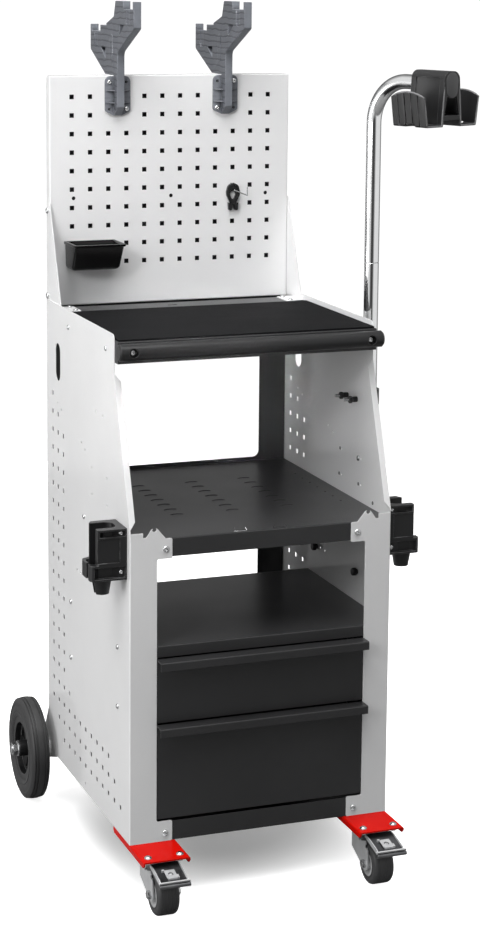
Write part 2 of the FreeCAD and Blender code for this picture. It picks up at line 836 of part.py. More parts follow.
def backboard():
    b = BOARD_HALF
    shell = box(-b, b, 0, BOARD_DEPTH, BOARD_BOTTOM, BOARD_TOP)
    shell = rounded(shell, BEND_R, lambda c, e: near(c.y, 0))
    hollow = box(-b + SHEET, b - SHEET, SHEET, BOARD_DEPTH + OVERRUN, BOARD_BOTTOM + SHEET,
                 BOARD_TOP - SHEET)
    hollow = rounded(hollow, BEND_R - SHEET, lambda c, e: near(c.y, SHEET))
    cut = [hollow]
    y0 = -OVERRUN
    y1 = SHEET + OVERRUN
    h = SQUARE / 2
    for c in range(BOARD_COLS):
        x = board_column_x(c)
        for r in range(BOARD_ROWS):
            z = board_row_z(r)
            cut.append(box(x - h, x + h, y0, y1, z - h, z + h))
    for k in (-1, 0, 1):
        cut.append(rod_y(BOARD_HOLE_R, k * BOARD_HOLE_SPACING, y0, y1, BOARD_HOLE_Z))
    for x, z in hook_screw_spots(-HOOK_X) + hook_screw_spots(HOOK_X):
        cut.append(rod_y(SCREW_HOLE_R, x, y0, y1, z))
    for z in gusset_bolt_heights():
        cut.append(rod_x(BOLT_HOLE_R, -b - OVERRUN, b + OVERRUN, GUSSET_BOLT_Y, z))
    return shell.cut(cut)


def gusset():
    """Left bracket; its web stands inside the side panel and outside the board's edge."""
    x = -BETWEEN
    z = TOP_SHELF_Z
    web = slab([(GUSSET_TAB_FRONT + GUSSET_TAB_TAPER, z), (GUSSET_FOOT_Y, PANEL_TOP, GUSSET_FOOT_R),
                (GUSSET_TIP_Y, GUSSET_TIP_Z, GUSSET_TIP_R), (GUSSET_REAR, GUSSET_TIP_Z, GUSSET_TIP_R),
                (GUSSET_REAR, z)], yz(x), V(SHEET, 0, 0))
    tab = slab([(x, GUSSET_TAB_FRONT + GUSSET_TAB_TAPER),
                (x + GUSSET_TAB_W, GUSSET_TAB_FRONT, GUSSET_TIP_R),
                (x + GUSSET_TAB_W, GUSSET_TAB_REAR, GUSSET_TIP_R),
                (x, GUSSET_TAB_REAR)], xy(z), V(0, 0, SHEET))
    cut = []
    for bz in gusset_bolt_heights():
        cut.append(rod_x(BOLT_HOLE_R, x - OVERRUN, x + SHEET + OVERRUN, GUSSET_BOLT_Y, bz))
    for y in tab_screw_ys():
        cut.append(rod_z(SCREW_HOLE_R, -TAB_SCREW_X, y, z - OVERRUN, z + SHEET + OVERRUN))
    return joined([web, tab]).cut(cut)


def rear_panel():
    b = BETWEEN
    y = REAR_PANEL_Y
    face = box(-b, b, y, y + SHEET, PANEL_BOTTOM, REAR_PANEL_TOP)
    left = box(-b, -b + SHEET, y, REAR_Y, PANEL_BOTTOM, REAR_PANEL_TOP)
    w = b - WINDOW_SIDE
    cut = []
    for z0, z1 in ((WINDOW_UP_LOW, WINDOW_UP_HIGH), (WINDOW_DOWN_LOW, WINDOW_DOWN_HIGH)):
        cut.append(slab([(-w, z0, WINDOW_R), (w, z0, WINDOW_R), (w, z1, WINDOW_R), (-w, z1, WINDOW_R)],
                        xz(y - OVERRUN), V(0, SHEET + 2 * OVERRUN, 0)))
    return joined([face, left, mirrored(left)]).cut(cut)


parts["backboard"] = backboard()
parts["gussets"] = pair([gusset()])
parts["rear_panel"] = rear_panel()


# shelves, tray and drawer cover

def top_shelf():
    b = BETWEEN
    z = TOP_SHELF_Z
    low = z - TOP_SHELF_SKIRT
    front = TOP_SHELF_FRONT
    rear = TOP_SHELF_REAR
    deck = box(-b, b, front, rear, z - SHEET, z)
    apron = box(-b, b, front, front + SHEET, low, z)
    back = box(-b, b, rear - SHEET, rear, low, z)
    side = box(-b, -b + SHEET, front, rear, low, z)
    body = joined([deck, apron, back, side, mirrored(side)])
    body = rounded(body, BEND_R, lambda c, e: near(c.y, front) and near(c.z, z))
    w = HANG_SLOT_W / 2
    t = HANG_SLOT_T / 2
    cut = [box(HANG_SLOT_X - w, HANG_SLOT_X + w, HANG_SLOT_Y - t, HANG_SLOT_Y + t,
               z - SHEET - OVERRUN, z + OVERRUN)]
    for y, sz in shelf_screw_spots():
        cut.append(rod_x(SCREW_HOLE_R, -b - OVERRUN, b + OVERRUN, y, sz))
    for s in (-1, 1):
        cut.append(rod_y(BOLT_HOLE_R, s * BAR_SCREW_X, front - OVERRUN, front + SHEET + OVERRUN, BAR_Z))
        for y in tab_screw_ys():
            cut.append(rod_z(SCREW_HOLE_R, s * TAB_SCREW_X, y, z - SHEET - OVERRUN, z + OVERRUN))
    return body.cut(cut)


def top_mat():
    w = BETWEEN - MAT_INSET
    front = TOP_SHELF_FRONT + MAT_INSET
    r = MAT_CORNER_R
    return slab([(-w, front, r), (w, front, r), (w, MAT_REAR, r), (-w, MAT_REAR, r)],
                xy(TOP_SHELF_Z), V(0, 0, MAT_T))


def smile(x, y):
    """Curved slot through the middle shelf."""
    h = SLOT_W / 2
    at = xy(MID_Z - SHEET - OVERRUN)
    p = [at(x - h, y), at(x, y + SLOT_SAG), at(x + h, y), at(x + h, y - SLOT_T),
         at(x, y + SLOT_SAG - SLOT_T), at(x - h, y - SLOT_T)]
    wire = Part.Wire([Part.Arc(p[0], p[1], p[2]).toShape(), Part.makeLine(p[2], p[3]),
                      Part.Arc(p[3], p[4], p[5]).toShape(), Part.makeLine(p[5], p[0])])
    return Part.Face(wire).extrude(V(0, 0, SHEET + 2 * OVERRUN))


def mid_shelf():
    b = BETWEEN
    z = MID_Z
    front = SHELF_FRONT
    step = front + SHEET + FIT
    deck = box(-b, b, step, SHELF_REAR, z - SHEET, z)
    nose = box(-APRON_HALF, APRON_HALF, front, step, z - SHEET, z)
    apron = box(-APRON_HALF, APRON_HALF, front, front + SHEET, z - MID_SKIRT, z)
    side = box(-b, -b + SHEET, front + SKIRT_BACK, SHELF_REAR, z - MID_SKIRT, z)
    body = joined([deck, nose, apron, side, mirrored(side)])
    body = rounded(body, BEND_R, lambda c, e: near(c.y, front) and near(c.z, z))
    z0 = z - SHEET - OVERRUN
    z1 = z + OVERRUN
    cut = []
    for k in range(SLOT_ROWS):
        y = SLOT_FIRST_Y - SLOT_STEP * k
        cut.append(rod_z(SMALL_HOLE_R, BETWEEN - SHELF_HOLE_IN, y, z0, z1))
        for c in range(SLOT_COLS):
            cut.append(smile((c - (SLOT_COLS - 1) / 2) * SLOT_PITCH + SLOT_SHIFT, y))
    y0 = front + CLIP_CUT_BACK
    for s in (-1, 1):
        x = s * CLIP_CUT_SPACING / 2
        cut.append(box(x - CLIP_CUT_W / 2, x + CLIP_CUT_W / 2, y0, y0 + CLIP_CUT_T, z0, z1))
        cut.append(rod_y(BOLT_HOLE_R, s * EAR_BOLT_X, front - OVERRUN, step + OVERRUN, EAR_BOLT_Z))
    cut.append(rod_x(SCREW_HOLE_R, -b - OVERRUN, b + OVERRUN, MID_SCREW_Y, MID_SCREW_Z))
    return body.cut(cut)


def caster_bolt_spots(x):
    return [(x + i * CASTER_BOLT_X / 2, CASTER_Y + k * CASTER_BOLT_Y / 2)
            for i in (-1, 1) for k in (-1, 1)]


def bottom_tray():
    b = BETWEEN
    z = PANEL_BOTTOM
    front = SHELF_FRONT
    deck = box(-b, b, front + SHEET, SHELF_REAR, z, z + SHEET)
    nose = box(-APRON_HALF, APRON_HALF, front, front + SHEET, z, z + TRAY_LIP)
    side = box(-b, -b + SHEET, front + SKIRT_BACK, SHELF_REAR, z, z + TRAY_SKIRT)
    cut = []
    for s in (-1, 1):
        cut.append(rod_y(BOLT_HOLE_R, s * EAR_BOLT_X, front - OVERRUN, front + SHEET + OVERRUN,
                         FOOT_BOLT_Z))
        for x, y in caster_bolt_spots(s * CPLATE_X):
            cut.append(rod_z(CASTER_HOLE_R, x, y, z - OVERRUN, z + SHEET + OVERRUN))
    return joined([deck, nose, side, mirrored(side)]).cut(cut)


def drawer_cover():
    b = BETWEEN
    z = COVER_Z
    w = HALF - FLANGE_W + COVER_LAP
    front = SHELF_FRONT
    deck = box(-b, b, front + SHEET, COVER_REAR, z - SHEET, z)
    nose = box(-w, w, front, front + SHEET, z - COVER_LIP, z)
    tail = box(-b, b, COVER_REAR - SHEET, COVER_REAR, z - COVER_TAIL, z)
    body = joined([deck, nose, tail])
    return rounded(body, BEND_R, lambda c, e: near(c.y, front) and near(c.z, z))


parts["top_shelf"] = top_shelf()
parts["top_mat"] = top_mat()
parts["mid_shelf"] = mid_shelf()
parts["bottom_tray"] = bottom_tray()
parts["drawer_cover"] = drawer_cover()


# drawers on telescopic slides

def slide_posts():
    """Channel posts that carry the slides; two on each side."""
    out = []
    h = POST_W / 2
    top = COVER_Z - SHEET
    for y in POST_YS:
        body = box(-BETWEEN, -RAIL_OUT, y - h, y + h, POST_BOTTOM, top)
        hollow = box(-BETWEEN + SHEET, -RAIL_OUT - SHEET, y - h + SHEET, y + h - SHEET,
                     POST_BOTTOM - OVERRUN, top + OVERRUN)
        cut = [hollow]
        for z in POST_ZS:
            cut.append(rod_x(SCREW_HOLE_R, -BETWEEN - OVERRUN, -BETWEEN + SHEET + OVERRUN, y, z))
        out.append(body.cut(cut))
    return pair(out)


def channel(web_x, lip_x, height, z):
    """Folded channel along Y with its web at web_x and lips reaching to lip_x."""
    h = height / 2
    t = SLIDE_T
    inner_x = web_x + t if lip_x > web_x else web_x - t
    r = SLIDE_BEND_R
    return slab([(web_x, z - h, r), (lip_x, z - h), (lip_x, z - h + t), (inner_x, z - h + t),
                 (inner_x, z + h - t), (lip_x, z + h - t), (lip_x, z + h), (web_x, z + h, r)],
                xz(SLIDE_Y0), V(0, SLIDE_LEN, 0))


def outer_rail(z):
    return channel(-RAIL_OUT, -RAIL_OUT + OUTER_LIP, SLIDE_H, z)


def middle_rail(z):
    return channel(-MIDDLE_X, -MIDDLE_X + MIDDLE_LIP, MIDDLE_H, z)


def inner_rail(z):
    return channel(-BOX_HALF, -MIDDLE_X + SLIDE_T + FIT, INNER_H, z)


def drawer_front(top, bottom):
    """Front sheet folded over into a grip lip."""
    w = DRAWER_HALF
    y = FRONT_Y
    tip = y - LIP_REACH
    face = box(-w, w, y, y + SHEET, bottom, top)
    ledge = box(-w, w, tip, y + SHEET, top - SHEET, top)
    reach = box(-LIP_HALF, LIP_HALF, tip, y - LIP_STANDOFF, top - SHEET, top)
    drop = box(-LIP_HALF, LIP_HALF, tip, tip + SHEET, top - LIP_DROP, top)
    body = joined([face, ledge, reach, drop])
    return rounded(body, BEND_R, lambda c, e: near(c.y, tip) and near(c.z, top))


def drawer_box(top, bottom):
    w = BOX_HALF
    y0 = FRONT_Y + SHEET
    y1 = y0 + BOX_LEN
    z0 = bottom + BOX_RISE
    z1 = top - BOX_DROP
    body = box(-w, w, y0, y1, z0, z1)
    body = rounded(body, BEND_R, lambda c, e: near(abs(c.x), w) and near(c.z, z0))
    return body.cut(box(-w + SHEET, w - SHEET, y0 + SHEET, y1 - SHEET, z0 + SHEET, z1 + OVERRUN))


parts["slide_posts"] = slide_posts()
parts["slide_rails"] = pair([outer_rail(UPPER_SLIDE_Z), outer_rail(LOWER_SLIDE_Z)])
parts["upper_slide_middles"] = pair([middle_rail(UPPER_SLIDE_Z)])
parts["lower_slide_middles"] = pair([middle_rail(LOWER_SLIDE_Z)])
parts["upper_slide_inners"] = pair([inner_rail(UPPER_SLIDE_Z)])
parts["lower_slide_inners"] = pair([inner_rail(LOWER_SLIDE_Z)])
parts["upper_drawer_front"] = drawer_front(UPPER_TOP, UPPER_BOTTOM)
parts["upper_drawer_box"] = drawer_box(UPPER_TOP, UPPER_BOTTOM)
parts["lower_drawer_front"] = drawer_front(LOWER_TOP, LOWER_BOTTOM)
parts["lower_drawer_box"] = drawer_box(LOWER_TOP, LOWER_BOTTOM)


# handle bar

def handle_bar():
    h = BAR_HALF
    c = BAR_CHAMFER
    bar = turned([(-h, 0), (-h, BAR_R - c), (c - h, BAR_R), (h - c, BAR_R), (h, BAR_R - c), (h, 0)],
                 V(0, BAR_Y, BAR_Z), V(1, 0, 0))
    front = BAR_Y - BAR_R
    cut = []
    for s in (-1, 1):
        x = s * BAR_SCREW_X
        cut.append(rod_y(BOLT_HOLE_R, x, front - OVERRUN, BAR_Y + BAR_R + OVERRUN, BAR_Z))
        cut.append(rod_y(BAR_CBORE_R, x, front - OVERRUN, front + BAR_CBORE_DEPTH, BAR_Z))
    return bar.cut(cut)


def handle_screw():
    seat = V(-BAR_SCREW_X, BAR_Y - BAR_R + BAR_CBORE_DEPTH, BAR_Z)
    length = 2 * BAR_R - BAR_CBORE_DEPTH + BOLT_LEN
    return domed(seat, V(0, -1, 0), length, BAR_SCREW_HEAD_R, BOLT_HEAD_H, BOLT_R)


parts["handle_bar"] = handle_bar()
parts["handle_screws"] = pair([handle_screw()])


# hooks

def hook_web(x):
    """Side outline of a hook: front arm, neck and rear arm in one plate."""
    z = BOARD_TOP
    face = -FIT
    r = HOOK_CORNER_R
    front_in = HOOK_TIP_T - HOOK_FRONT
    rear_in = HOOK_REAR - HOOK_TIP_T
    return slab([
        (face - HOOK_BASE_T, z - HOOK_BASE_DROP), (-HOOK_NECK, z - HOOK_NECK_DROP, r),
        (-HOOK_NECK, z + HOOK_NECK_RISE, HOOK_NECK_R), (-HOOK_FRONT, z + HOOK_FRONT_LOW, r),
        (-HOOK_FRONT, z + HOOK_FRONT_TOP), (front_in, z + HOOK_FRONT_TOP),
        (front_in, z + HOOK_FRONT_SEAT), (front_in + HOOK_SEAT_W, z + HOOK_FRONT_SEAT),
        (front_in + HOOK_SEAT_W, z + HOOK_FRONT_TOP), (HOOK_CREST_Y, z + HOOK_FRONT_TOP, HOOK_EYE_R),
        (HOOK_SADDLE_Y, z + HOOK_SADDLE_Z, r), (HOOK_STEP_Y, z + HOOK_STEP_Z),
        (HOOK_STEP_Y, z + HOOK_REAR_LAND), (rear_in - HOOK_SEAT_W, z + HOOK_REAR_LAND),
        (rear_in - HOOK_SEAT_W, z + HOOK_REAR_SEAT), (rear_in, z + HOOK_REAR_SEAT),
        (rear_in, z + HOOK_REAR_LAND), (HOOK_REAR, z + HOOK_REAR_LAND),
        (HOOK_REAR, z + HOOK_REAR_LOW, r), (HOOK_HEEL_Y, z + FIT), (face, z + FIT),
        (face, z - HOOK_BASE_DROP)], yz(x - HOOK_T / 2), V(HOOK_T, 0, 0))


def hook(x):
    z = BOARD_TOP
    y0 = -FIT
    y1 = y0 - HOOK_BASE_T
    h = HOOK_BASE_W / 2
    t = HOOK_T / 2
    low = z - HOOK_BASE_DROP
    top = z - HOOK_BASE_TOP_DROP
    base = slab([(x - h, low + HOOK_BASE_TAPER, HOOK_BASE_LOW_R), (x - t, low), (x + t, low),
                 (x + h, low + HOOK_BASE_TAPER, HOOK_BASE_LOW_R), (x + h, top, HOOK_BASE_TOP_R),
                 (x - h, top, HOOK_BASE_TOP_R)], xz(y0), V(0, -HOOK_BASE_T, 0))
    whole = [hook_web(x), base]
    for k in (0, 1):
        rib_z = z - HOOK_RIB_DROP - k * HOOK_RIB_SPACING - HOOK_RIB_T / 2
        whole.append(slab([(x - h, y1), (x - t, y1 - HOOK_RIB_DEPTH), (x + t, y1 - HOOK_RIB_DEPTH),
                           (x + h, y1), (x + h, y1 / 2), (x - h, y1 / 2)], xy(rib_z), V(0, 0, HOOK_RIB_T)))
    w = HOOK_FLUTE_W / 2
    side = HOOK_FLUTE_PROUD
    whole.append(slab([(HOOK_FLUTE_Y - w, z + HOOK_FLUTE_LOW, HOOK_CORNER_R),
                       (HOOK_FLUTE_Y + w, z + HOOK_FLUTE_LOW, HOOK_CORNER_R),
                       (HOOK_FLUTE_Y + w, z + HOOK_FLUTE_HIGH, HOOK_CORNER_R),
                       (HOOK_FLUTE_Y - w, z + HOOK_FLUTE_HIGH, HOOK_CORNER_R)],
                      yz(x - t - side), V(HOOK_T + 2 * side, 0, 0)))
    a, b, r = HOOK_EYE_W, HOOK_EYE_H, HOOK_EYE_R
    ry, rz = HOOK_REAR_EYE_Y, z + HOOK_REAR_EYE_Z
    fy, fz = HOOK_FRONT_EYE_Y, z + HOOK_FRONT_EYE_Z
    through = V(HOOK_T + 2 * OVERRUN, 0, 0)
    at = yz(x - t - OVERRUN)
    cut = [slab([(ry + a, rz + b, r), (ry, rz + b, r), (ry, rz, r)], at, through),
           slab([(fy, fz, r), (fy - a, fz, r), (fy, fz - b, r)], at, through)]
    d = HOOK_POCKET_DEPTH
    front_seat = (HOOK_TIP_T - HOOK_FRONT + HOOK_SEAT_W / 2, z + HOOK_FRONT_SEAT)
    rear_seat = (HOOK_REAR - HOOK_TIP_T - HOOK_SEAT_W / 2, z + HOOK_REAR_SEAT)
    for y, seat in (front_seat, rear_seat):
        for w, deep in ((HOOK_POCKET_W, HOOK_POCKET_H), (HOOK_POCKET_W / 2, HOOK_POCKET_H + HOOK_TIP_T)):
            for x0 in (x - t - OVERRUN, x + t - d):
                cut.append(box(x0, x0 + d + OVERRUN, y - w / 2, y + w / 2, seat - deep, seat + OVERRUN))
    for sx, sz in hook_screw_spots(x):
        cut.append(rod_y(SCREW_HOLE_R, sx, y1 - OVERRUN, y0 + OVERRUN, sz))
    return joined(whole).cut(cut)


def hook_screws():
    """Two screws to a hook, one low and one high across from it."""
    out = []
    for x, z in hook_screw_spots(-HOOK_X)[1:3]:
        out.append(small_screw(V(x, -FIT - HOOK_BASE_T, z), V(0, -1, 0)))
    return pair(out)


parts["hook_left"] = hook(-HOOK_X)
parts["hook_right"] = hook(HOOK_X)
parts["hook_screws"] = hook_screws()


# storage bin

def bin_loft(inset, z0, z1):
    """Tapered block of the bin between two heights, smaller all round by inset."""
    h = BIN_W / 2 - inset
    slope = (BIN_DEPTH_TOP - BIN_DEPTH_FOOT) / (BIN_TOP - BIN_BOTTOM)
    back = -FIT - inset
    rings = []
    for z in (z0, z1):
        front = inset - FIT - BIN_DEPTH_FOOT - slope * (z - BIN_BOTTOM)
        rings.append(outline([(BIN_X - h, back, BIN_BACK_R), (BIN_X + h, back, BIN_BACK_R),
                              (BIN_X + h, front, BIN_CORNER_R), (BIN_X - h, front, BIN_CORNER_R)], xy(z)))
    return Part.makeLoft(rings, True)


def storage_bin():
    h = BIN_W / 2 + BIN_RIM
    rim = box(BIN_X - h, BIN_X + h, -FIT - BIN_DEPTH_TOP - BIN_RIM, -FIT, BIN_TOP - BIN_RIM, BIN_TOP)
    shell = bin_loft(0, BIN_BOTTOM, BIN_TOP).fuse(rim)
    shell = shell.cut(bin_loft(BIN_WALL, BIN_BOTTOM + BIN_WALL, BIN_TOP + OVERRUN))
    z = board_row_z(BIN_HOLE_ROW)
    lugs = []
    for k in (0, BIN_HOLE_STEP):
        x = board_column_x(k)
        lugs.append(box(x - LUG_W / 2, x + LUG_W / 2, -FIT, SHEET + LUG_W / 2, z - LUG_H / 2, z + LUG_H / 2))
    return joined([shell] + lugs)


parts["parts_bin"] = storage_bin()


# clip with a bent wire

def tool_clip():
    y = -FIT
    x, z = CLIP_X, CLIP_Z
    w = CLIP_HEAD_W / 2
    g = CLIP_LEG_W / 2
    gap = CLIP_LEG_GAP / 2
    foot = z - CLIP_LEG_H
    fork = z - CLIP_LEG_TOP
    r = CLIP_LEG_GAP
    neck = z - WIRE_SAG
    waist = z - CLIP_WAIST
    crest = z + CLIP_HEAD_H
    body = slab([(x - w, crest, w - WIRE_R), (x + w, crest, w - WIRE_R), (x + w, neck, r), (x + g, waist, r),
                 (x + g, foot, WIRE_R), (x + gap, foot, WIRE_R), (x + gap / 2, fork), (x - gap / 2, fork),
                 (x - gap, foot, WIRE_R), (x - g, foot, WIRE_R), (x - g, waist, r), (x - w, neck, r)],
                xz(y), V(0, -CLIP_DEPTH, 0))
    top = z - CLIP_WINDOW_TOP
    m = CLIP_WINDOW_W / 2
    window = slab([(x, top, WIRE_R), (x + m, top - m, WIRE_R), (x, top - CLIP_WINDOW_H, WIRE_R),
                   (x - m, top - m, WIRE_R)], xz(y + OVERRUN), V(0, -CLIP_DEPTH - 2 * OVERRUN, 0))
    hole = rod_y(WIRE_R + SEAT_FIT, x, y - CLIP_DEPTH - OVERRUN, y - CLIP_DEPTH / 2, z)
    return body.cut([window, hole])


def clip_wire():
    seat = -FIT - CLIP_DEPTH / 2
    y = -FIT - CLIP_DEPTH - WIRE_STANDOFF
    far = V(CLIP_X + WIRE_REACH, y - WIRE_LEAN, CLIP_Z - WIRE_SAG)
    p = [V(CLIP_X, seat, CLIP_Z), V(CLIP_X, y, CLIP_Z), far, far.add(V(0, 0, WIRE_UP))]
    pieces = [rod(WIRE_R, p[i], p[i + 1]) for i in range(3)]
    pieces += [Part.makeSphere(WIRE_R, p[1]), Part.makeSphere(WIRE_R, p[2])]
    return joined(pieces)


parts["tool_clip"] = tool_clip()
parts["clip_wire"] = clip_wire()


# tool holders

def holder():
    """Left holder; u runs outwards from the side panel."""
    x = -HALF

    def at(z):
        return lambda u, y: V(x - u, y, z)

    f, r, m = HOLDER_FRONT, HOLDER_REAR, HOLDER_MID
    s = HOLDER_SLOT_W / 2
    t = HOLDER_WALL
    out = HOLDER_OUT
    back = HOLDER_BACK_T
    tall = slab([(0, f, t / 2), (out, f, t / 2), (out, m - s), (back, m - s, HOLDER_SLOT_R),
                 (back, m + s, HOLDER_SLOT_R), (out, m + s), (out - HOLDER_BACK_TAPER, r, t / 2),
                 (0, r, t / 2)], at(HOLDER_LOW), V(0, 0, HOLDER_TOP - HOLDER_LOW))
    band_top = HOLDER_LOW + HOLDER_BAND_H
    c = HOLDER_BAND_CUT
    band = slab([(0, f, t / 2), (HOLDER_BAND_OUT, f, c), (HOLDER_BAND_OUT, r - c, c),
                 (HOLDER_BAND_OUT - 2 * c, r, c / 2), (0, r, t / 2)], at(HOLDER_LOW), V(0, 0, HOLDER_BAND_H))
    deep = HOLDER_RELIEF
    reliefs = []
    for y in (f - OVERRUN, r - deep):
        reliefs.append(box(x - out - OVERRUN, x - back, y, y + deep + OVERRUN, band_top + t,
                           HOLDER_TOP - HOLDER_RELIEF_EDGE))
    axis = V(x - CUP_OUT, CUP_Y, CUP_BOTTOM)
    up = V(0, 0, 1)
    tall_cup = HOLDER_LOW - CUP_BOTTOM
    bowl = Part.makeCone(CUP_R_LOW, CUP_R_TOP, tall_cup, axis, up)
    body = joined([tall.cut(reliefs), band, bowl])
    well_top = tall_cup + HOLDER_FLOOR + OVERRUN
    well_r = CUP_R_TOP - CUP_WALL
    well = turned([(-OVERRUN, 0), (-OVERRUN, CUP_R_LOW - CUP_WALL), (0, CUP_R_LOW - CUP_WALL),
                   (tall_cup, well_r), (well_top, well_r), (well_top, 0)], axis, up)
    pocket = slab([(back, m - s, HOLDER_SLOT_R), (HOLDER_BAND_OUT - t, m - s, c),
                   (HOLDER_BAND_OUT - t, m + s, c), (back, m + s, HOLDER_SLOT_R)],
                  at(HOLDER_LOW + HOLDER_FLOOR), V(0, 0, HOLDER_TOP - HOLDER_LOW))
    w = HOLDER_NOTCH_W / 2
    notch = box(x - HOLDER_BAND_OUT - OVERRUN, x - CUP_OUT, CUP_Y - w, CUP_Y + w, CUP_BOTTOM - OVERRUN,
                band_top + OVERRUN)
    return body.cut([well, pocket, notch])


def holder_screws():
    out = []
    for z in (HOLDER_TOP - HOLDER_SCREW_TOP, HOLDER_LOW + HOLDER_SCREW_LOW):
        seat = V(-HALF - HOLDER_SCREW_OUT, HOLDER_FRONT, z)
        head = [(0, 0), (0, HOLDER_SCREW_R), (HOLDER_SCREW_H / 2, HOLDER_SCREW_R), (HOLDER_SCREW_H, 0)]
        out.append(turned(head, seat, V(0, -1, 0)))
    return pair(out)


parts["holder_left"] = holder()
parts["holder_right"] = mirrored(holder())
parts["holder_screws"] = holder_screws()


# pole with clamp, plugged joint and cradle head

def arm_point(d, a, z):
    """Point d along the arm from the pole, a to its right side, z above its axis."""
    return V(POLE_X, POLE_Y, ARM_Z + z).add(scaled(ARM, d)).add(scaled(SIDE, a))


def pole_lower():
    foot = annulus(POLE_R, POLE_WALL, V(POLE_X, POLE_Y, POLE_FOOT_Z), V(0, 0, 1))
    return foot.extrude(V(0, 0, POLE_JOINT_Z - POLE_FOOT_Z))


def pole_upper():
    """Tube with a bend and a spigot that turns in the lower tube."""
    up = V(0, 0, 1)
    z0 = POLE_JOINT_Z + FIT
    bend_z = ARM_Z - POLE_BEND_R
    straight = annulus(POLE_R, POLE_WALL, V(POLE_X, POLE_Y, z0), up).extrude(V(0, 0, bend_z - z0))
    turn = annulus(POLE_R, POLE_WALL, V(POLE_X, POLE_Y, bend_z), up)
    bend = turn.revolve(arm_point(POLE_BEND_R, 0, -POLE_BEND_R), up.cross(ARM), 90)
    end = annulus(POLE_R, POLE_WALL, arm_point(POLE_BEND_R, 0, 0), ARM)
    arm = end.extrude(scaled(ARM, HEAD_FROM + HEAD_LEN - HEAD_END_WALL - POLE_BEND_R))
    bore = POLE_R - POLE_WALL
    spigot = rod_z(bore - RUN_FIT, POLE_X, POLE_Y, POLE_JOINT_Z - SPIGOT_DOWN, POLE_JOINT_Z + SPIGOT_UP)
    key = rod_z(bore + SPIGOT_KEY, POLE_X, POLE_Y, z0, POLE_JOINT_Z + SPIGOT_UP)
    return joined([straight, bend, arm, spigot, key])


def clamp_bolt_ys():
    return [POLE_Y + s * CLAMP_BOLT_Y for s in (-1, 1)]


def pole_clamp():
    """Saddle block bolted to the right panel around the lower tube."""
    w = CLAMP_BOLT_Y + CLAMP_LUG_EDGE
    lug = HALF + CLAMP_LUG_T
    r = POLE_R + CLAMP_WALL
    z0, z1 = CLAMP_Z0, CLAMP_Z1
    c = CLAMP_WALL / 2
    foot = slab([(HALF, POLE_Y - w, c), (HALF, POLE_Y + w, c), (lug, POLE_Y + w, c), (lug, POLE_Y - w, c)],
                xy(z0), V(0, 0, CLAMP_H))
    neck = box(HALF, POLE_X, POLE_Y - POLE_R, POLE_Y + POLE_R, z0, z1)
    body = joined([foot, neck, rod_z(r, POLE_X, POLE_Y, z0, z1)])
    cut = [rod_z(POLE_R + SEAT_FIT, POLE_X, POLE_Y, z0 - OVERRUN, z1 + OVERRUN)]
    for y in clamp_bolt_ys():
        cut.append(rod_x(CLAMP_HOLE_R, HALF - OVERRUN, POLE_X + r, y, CLAMP_BOLT_Z))
    for s in (-1, 1):
        y = POLE_Y + s * CLAMP_BOLT_Y
        cut.append(rod_x(BOLT_HEAD_R + FIT, lug, POLE_X + r, y, CLAMP_BOLT_Z))
    return body.cut(cut)


def clamp_bolts():
    out = []
    lug = HALF + CLAMP_LUG_T
    for y in clamp_bolt_ys():
        length = lug - INNER + CLAMP_NUT_H
        bolt = domed(V(lug, y, CLAMP_BOLT_Z), V(1, 0, 0), length, BOLT_HEAD_R, BOLT_HEAD_H, BOLT_R)
        nut = hexbar(CLAMP_NUT_W, V(INNER, y, CLAMP_BOLT_Z), V(INNER - CLAMP_NUT_H, y, CLAMP_BOLT_Z))
        out.append(joined([bolt, nut]))
    return Part.makeCompound(out)


def head_section(d):
    return lambda a, z: arm_point(d, a, z)


def head_crest(s):
    """Cutter that leaves the curved rim of the outer wall on side s."""
    d0 = HEAD_FROM - OVERRUN
    d1 = HEAD_FROM + HEAD_LEN + OVERRUN
    a = s * HEAD_FOOT_HALF * 1.2
    low = -HEAD_RIM - HEAD_RIM_SAG
    high = HEAD_TOP
    arc = Part.Arc(arm_point(d0, a, low), arm_point((d0 + d1) / 2, a, -HEAD_RIM), arm_point(d1, a, low))
    wire = Part.Wire([arc.toShape(), Part.makeLine(arm_point(d1, a, low), arm_point(d1, a, high)),
                      Part.makeLine(arm_point(d1, a, high), arm_point(d0, a, high)),
                      Part.makeLine(arm_point(d0, a, high), arm_point(d0, a, low))])
    return Part.Face(wire).extrude(scaled(SIDE, s * HEAD_OUT_TOP))


